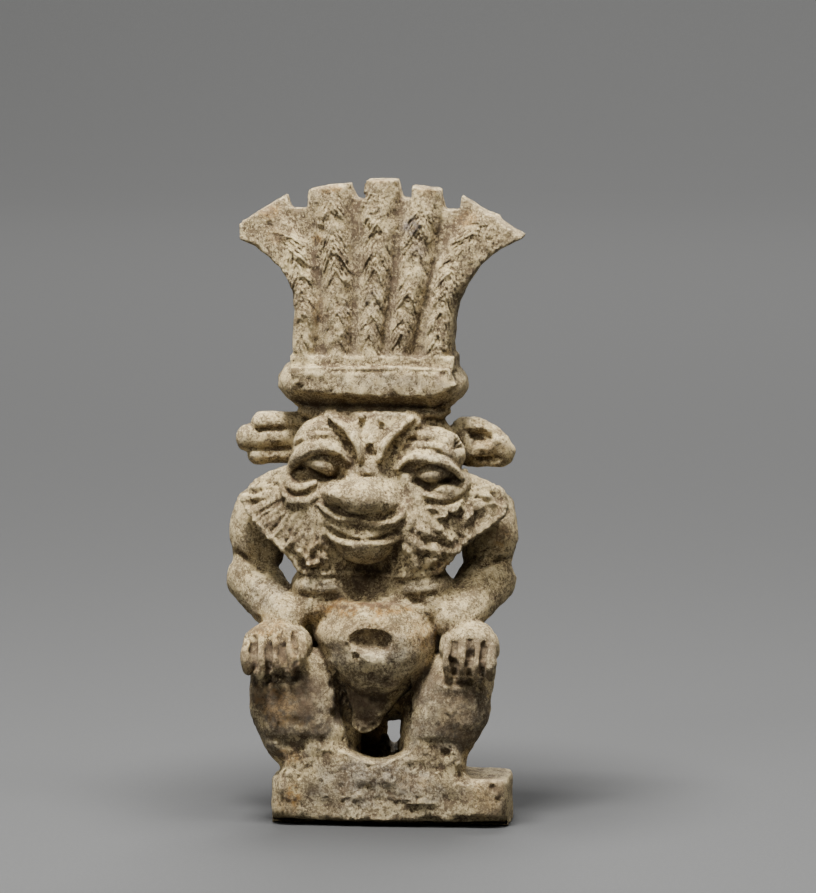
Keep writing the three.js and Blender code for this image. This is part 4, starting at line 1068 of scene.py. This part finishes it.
chalk = stain([
    (0.2, 7.7, 0.9, 0.35, 0.9), (0.6, 3.9, 0.7, 0.4, 0.7), (1.7, 6.9, 1.2, 0.6, 0.7),
    (-0.7, 7.0, 1.0, 0.5, 0.5), (0.4, 5.75, 1.6, 0.25, 0.7), (0.3, 7.0, 2.2, 0.9, 0.45),
    (6.7, 20.1, 0.8, 0.3, 0.5), (7.8, 20.7, 0.5, 0.4, 0.5), (-3.0, 4.2, 0.45, 0.9, 0.8),
    (-3.9, 2.5, 1.4, 0.2, 0.8), (-3.9, -2.1, 0.5, 0.5, 0.8), (-0.8, -2.2, 0.8, 0.5, 0.7),
    (1.6, -2.2, 0.9, 0.4, 0.7), (4.2, -2.1, 1.2, 0.5, 0.6), (-5.6, -0.6, 0.4, 1.2, 0.5),
    (-5.4, 12.3, 0.6, 0.3, 0.4), (-3.1, 12.2, 1.0, 0.3, 0.5), (7.6, 0.0, 0.9, 0.25, 0.6),
    (-0.4, 21.6, 0.8, 0.6, 0.3), (-6.2, 9.5, 0.7, 0.25, 0.5),
])


def keep(name, values):
    layer = figure.data.attributes.new(name, "FLOAT", "POINT")
    layer.data.foreach_set("value", np.clip(values, 0, 1).astype(np.float32))


for name, values in (
    ("hollow", hollow), ("rubbed", rubbed), ("shelter", shelter), ("rust", rust), ("umber_and_chin_shadow", umber_and_chin_shadow),
    ("violet", violet), ("grey", grey), ("chalk", chalk), ("painted_shade", painted_shade), ("channel_brown_and_barb_shade", channel_brown_and_barb_shade),
):
    keep(name, values)
    print(name, "covers", round(float((values > 0.3).mean()), 3))

# %% Bring the figure back to metres
figure.data.transform(Matrix.Scale(0.001, 4))
bpy.ops.object.select_all(action="DESELECT")
for polygon in figure.data.polygons:
    polygon.use_smooth = True
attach(figure, "root")
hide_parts("bes_figure")

# %% [markdown]
# ## Stone
# The stone is cream and fine-grained, spotted all over with dark brown. Earth is darkest in the hollows,
# and it lies there in grains, not as one flat coat. Pale flecks show everywhere, but fewer where the stone
# is stained and where shade is painted. The colour is built up in layers, from the clean stone outwards:
# the marks of age, and painted shade. The grain is a group of nodes, because the floor uses it too.

# %% Build the grain
def socket(group, name, way, kind="NodeSocketFloat", value=None):
    made = group.interface.new_socket(name, in_out=way, socket_type=kind)
    if value is not None:
        made.default_value = value


def node(tree, kind, **settings):
    made = tree.nodes.new(kind)
    for name, value in settings.items():
        setattr(made, name, value)
    return made


def noise_at(tree, place, scale, detail=2.0, rough=0.5):
    made = node(tree, "ShaderNodeTexNoise")
    tree.links.new(place, made.inputs["Vector"])
    made.inputs["Scale"].default_value = scale
    made.inputs["Detail"].default_value = detail
    made.inputs["Roughness"].default_value = rough
    return made.outputs["Fac"]


def step_at(tree, value, low, high):
    """A mask that goes from 0 to 1 as the value goes from low to high."""
    made = node(tree, "ShaderNodeMapRange", interpolation_type="SMOOTHSTEP")
    tree.links.new(value, made.inputs["Value"])
    made.inputs["From Min"].default_value = low
    made.inputs["From Max"].default_value = high
    return made.outputs["Result"]


def combined(tree, operation, first, second):
    made = node(tree, "ShaderNodeMath", operation=operation)
    for value, place in ((first, 0), (second, 1)):
        if isinstance(value, (int, float)):
            made.inputs[place].default_value = value
        else:
            tree.links.new(value, made.inputs[place])
    return made.outputs["Value"]


grain = bpy.data.node_groups.new("grain", "ShaderNodeTree")
socket(grain, "Place", "INPUT", "NodeSocketVector")
socket(grain, "Coarseness", "INPUT", value=1.0)
socket(grain, "Specks", "OUTPUT")
socket(grain, "Flecks", "OUTPUT")
socket(grain, "Height", "OUTPUT")
way_in = node(grain, "NodeGroupInput")
way_out = node(grain, "NodeGroupOutput")
sized = node(grain, "ShaderNodeVectorMath", operation="SCALE")
grain.links.new(way_in.outputs["Place"], sized.inputs[0])
grain.links.new(way_in.outputs["Coarseness"], sized.inputs["Scale"])
small = noise_at(grain, sized.outputs["Vector"], 5600, 5, 0.85)
smaller = noise_at(grain, sized.outputs["Vector"], 9500, 2, 0.7)
patchy = noise_at(grain, sized.outputs["Vector"], 1000, 3, 0.6)
gathered = combined(grain, "ADD", small, combined(grain, "MULTIPLY", patchy, 0.45))
grain.links.new(step_at(grain, gathered, 0.69, 0.79), way_out.inputs["Specks"])
grain.links.new(step_at(grain, smaller, 0.53, 0.61), way_out.inputs["Flecks"])
grain_height = combined(grain, "ADD", small, combined(grain, "MULTIPLY", smaller, 0.5))
grain.links.new(grain_height, way_out.inputs["Height"])

# %% Tools for layers of colour
def grained_material(name, coarseness):
    """A new material with the grain in it, and what its layers are linked to."""
    material = bpy.data.materials.new(name)
    material.use_nodes = True
    tree = material.node_tree
    place = node(tree, "ShaderNodeTexCoord").outputs["Object"]
    grained = node(tree, "ShaderNodeGroup", node_tree=grain)
    tree.links.new(place, grained.inputs["Place"])
    grained.inputs["Coarseness"].default_value = coarseness
    return material, tree, tree.nodes["Principled BSDF"], place, grained


def measured(name):
    made = node(tree, "ShaderNodeAttribute", attribute_type="GEOMETRY", attribute_name=name)
    return made.outputs["Fac"]


def layer(under, mask, colour):
    """Lays a colour over what is there, where the mask is."""
    made = node(tree, "ShaderNodeMix", data_type="RGBA", clamp_factor=True)
    tree.links.new(mask, made.inputs["Factor"])
    if isinstance(under, tuple):
        made.inputs[6].default_value = (*under, 1)
    else:
        tree.links.new(under, made.inputs[6])
    made.inputs[7].default_value = (*colour, 1)
    return made.outputs[2]


def times(first, second):
    return combined(tree, "MULTIPLY", first, second)


def plus(first, second):
    return combined(tree, "ADD", first, second)


def roughen(height, strength, distance):
    """Raises the surface by a height, as seen in the light."""
    bump = node(tree, "ShaderNodeBump")
    bump.inputs["Strength"].default_value = strength
    bump.inputs["Distance"].default_value = distance
    tree.links.new(height, bump.inputs["Height"])
    tree.links.new(bump.outputs["Normal"], surface.inputs["Normal"])


# %% Build the stone
stone, tree, surface, place, grained = grained_material("carved_stone", 1.0)
cream, tan, sand = (0.50, 0.385, 0.18), (0.24, 0.165, 0.068), (0.34, 0.25, 0.11)
earth, brown = (0.045, 0.027, 0.011), (0.08, 0.048, 0.019)
rusty, umber_and_shadow_brown = (0.23, 0.105, 0.005), (0.075, 0.036, 0.016)
ash, violet_grey, chalky = (0.27, 0.25, 0.205), (0.13, 0.105, 0.10), (0.68, 0.56, 0.32)
# the first is the colour of the painted shade; the second is the brown of the channels, which also paints
# shade under the barbs
painted_shade_brown, channel_and_barb_shade_brown = (0.085, 0.062, 0.033), (0.15, 0.102, 0.045)

broad = noise_at(tree, place, 330, 3, 0.6)
middle = noise_at(tree, place, 1300, 3, 0.65)
fine = noise_at(tree, place, 3000, 2, 0.6)
colour = layer(sand, step_at(tree, broad, 0.42, 0.62), cream)
colour = layer(colour, times(step_at(tree, middle, 0.5, 0.66), 0.75), tan)
colour = layer(colour, times(measured("grey"), step_at(tree, middle, 0.3, 0.6)), ash)
# lay the painted shade
colour = layer(colour, times(measured("painted_shade"), step_at(tree, middle, 0.12, 0.48)), painted_shade_brown)
# brown in the channels, and painted shade under each barb
colour = layer(colour, times(measured("channel_brown_and_barb_shade"), step_at(tree, fine, 0.36, 0.66)), channel_and_barb_shade_brown)
pale = times(plus(measured("rubbed"), measured("chalk")), step_at(tree, fine, 0.36, 0.6))
colour = layer(colour, times(pale, 0.7), chalky)
colour = layer(colour, times(measured("rust"), step_at(tree, fine, 0.32, 0.6)), rusty)
# umber stains, and the painted shadow under the chin
colour = layer(colour, times(measured("umber_and_chin_shadow"), step_at(tree, fine, 0.28, 0.6)), umber_and_shadow_brown)
colour = layer(colour, times(measured("violet"), step_at(tree, fine, 0.32, 0.62)), violet_grey)
# flecks thin out where the stone is stained and where shade is painted
stained_and_shaded = plus(plus(measured("painted_shade"), measured("rust")), measured("umber_and_chin_shadow"))
flecked = plus(0.62, times(stained_and_shaded, -0.36))
colour = layer(colour, times(grained.outputs["Flecks"], flecked), chalky)
dirty = plus(times(measured("hollow"), 0.8), times(measured("shelter"), 0.66))
dirt_grain = plus(0.55, times(grained.outputs["Specks"], 0.4))
colour = layer(colour, times(step_at(tree, plus(dirty, times(fine, 0.6)), 0.45, 1.3), dirt_grain), earth)
speckled = times(grained.outputs["Specks"], plus(0.8, measured("hollow")))
colour = layer(colour, speckled, brown)
tree.links.new(colour, surface.inputs["Base Color"])

rough = plus(0.52, times(grained.outputs["Specks"], 0.2))
tree.links.new(plus(rough, times(middle, 0.2)), surface.inputs["Roughness"])
roughen(plus(grained.outputs["Height"], times(grained.outputs["Specks"], -0.35)), 0.8, 0.00018)
figure.data.materials.clear()
figure.data.materials.append(stone)
print("stone has", len(tree.nodes), "nodes")

# %% [markdown]
# ## Studio
# A sheet of grey paper runs along the floor and up behind in one curve, so no edge shows. The grain of the
# paper is the stone's, twice as coarse, and a soft shadow is painted on it round the base. The key lamp
# stands high over the figure's front, a weaker one fills from the left, another from the right, and a broad
# lamp behind lights the paper.

# %% Lay the paper
sweep_edge, sweep_height = 0.85, 0.9
bpy.ops.object.select_all(action="DESELECT")
bpy.ops.mesh.primitive_plane_add(size=1.6, location=(0, 0.1, 0))
floor = bpy.context.object
floor.name = "paper_sweep"
bpy.ops.object.transform_apply(location=True, rotation=True, scale=True)
sweep_radius = 0.35
bpy.ops.object.mode_set(mode="EDIT")
bpy.ops.mesh.select_mode(type="EDGE")
bpy.ops.mesh.select_all(action="DESELECT")
bpy.ops.object.mode_set(mode="OBJECT")
for edge in floor.data.edges:
    edge.select = all(floor.data.vertices[i].co.y > sweep_edge for i in edge.vertices)
bpy.ops.object.mode_set(mode="EDIT")
bpy.ops.mesh.extrude_region_move(TRANSFORM_OT_translate={"value": (0, 0, sweep_height)})
bpy.ops.mesh.select_all(action="DESELECT")
bpy.ops.object.mode_set(mode="OBJECT")
for edge in floor.data.edges:
    ends = [floor.data.vertices[i].co for i in edge.vertices]
    edge.select = all(end.y > sweep_edge and abs(end.z) < 0.01 for end in ends)
bpy.ops.object.mode_set(mode="EDIT")
bpy.ops.mesh.bevel(offset=sweep_radius, offset_type="OFFSET", segments=24, affect="EDGES")
bpy.ops.mesh.select_all(action="SELECT")
bpy.ops.mesh.normals_make_consistent(inside=False)
bpy.ops.mesh.faces_shade_smooth()
bpy.ops.object.mode_set(mode="OBJECT")
if floor.data.polygons[0].normal.z < 0:
    floor.data.flip_normals()
print("paper has", len(floor.data.polygons), "faces")

# %% Colour the paper and paint its shadow
paper, tree, surface, place, grained = grained_material("grey_paper", 0.5)
# the last grey is the colour of the shadow painted round the base
mid_grey, fleck_grey, painted_shadow_grey = (0.048, 0.048, 0.047), (0.064, 0.064, 0.063), (0.012, 0.012, 0.0116)
colour = layer(mid_grey, times(grained.outputs["Flecks"], 0.35), fleck_grey)
# the painted shadow is an oval round the base, with its middle moved and its half sizes in metres
painted_shadow_oval = node(tree, "ShaderNodeMapping", vector_type="TEXTURE")
painted_shadow_oval.inputs["Location"].default_value = (0.0012, 0.008, 0)
painted_shadow_oval.inputs["Scale"].default_value = (0.019, 0.023, 1)
tree.links.new(place, painted_shadow_oval.inputs["Vector"])
from_middle = node(tree, "ShaderNodeVectorMath", operation="LENGTH")
tree.links.new(painted_shadow_oval.outputs["Vector"], from_middle.inputs[0])
painted_shadow = combined(tree, "SUBTRACT", 1, step_at(tree, from_middle.outputs["Value"], 0.35, 1.25))
colour = layer(colour, times(painted_shadow, 0.92), painted_shadow_grey)
tree.links.new(colour, surface.inputs["Base Color"])
surface.inputs["Roughness"].default_value = 0.9
roughen(grained.outputs["Height"], 0.4, 0.0001)
floor.data.materials.append(paper)

# %% Lights
def lamp(name, place, size, power, target=(0, 0, 0.02)):
    bpy.ops.object.light_add(type="AREA", location=place)
    light = bpy.context.object
    light.name = name
    light.data.size = size
    light.data.energy = power
    light.rotation_euler = (Vector(target) - Vector(place)).to_track_quat("-Z", "Y").to_euler()


lamp("key", (-0.02, -0.062, 0.215), 0.05, 1.86)
lamp("front", (-0.09, -0.2, 0.18), 0.05, 0.27)
lamp("right", (0.09, -0.06, 0.19), 0.06, 0.26)
lamp("paper_light", (0, 0.45, 0.5), 0.3, 8.5, target=(0, 0.6, 0))
world = bpy.data.worlds.new("studio")
world.use_nodes = True
world.node_tree.nodes["Background"].inputs["Color"].default_value = (0.30, 0.30, 0.30, 1)
world.node_tree.nodes["Background"].inputs["Strength"].default_value = 0.12
bpy.context.scene.world = world

# %% [markdown]
# ## Camera
# The photograph was taken from a little above, with a long lens, so the camera stands well back. Its lens is
# worked out from how much of the figure's surroundings the picture takes in at that distance.

# %% Place the camera
camera_data = bpy.data.cameras.new("camera")
camera = bpy.data.objects.new("camera", camera_data)
bpy.context.collection.objects.link(camera)
bpy.context.scene.camera = camera
azimuth = math.radians(5.5)
elevation = math.radians(6)
distance = 0.42
aim = Vector((0.0021, 0, 0.0233))
# half the width that the picture takes in at the figure
half_view = 0.0279
sensor = 36
back = Vector((
    math.sin(azimuth) * math.cos(elevation), -math.cos(azimuth) * math.cos(elevation), math.sin(elevation)
))
camera.location = aim + back * distance
camera.rotation_euler = (-back).to_track_quat("-Z", "Y").to_euler()
camera_data.sensor_width = sensor
camera_data.lens = sensor / 2 / (half_view / distance)
camera_data.clip_start = 0.01
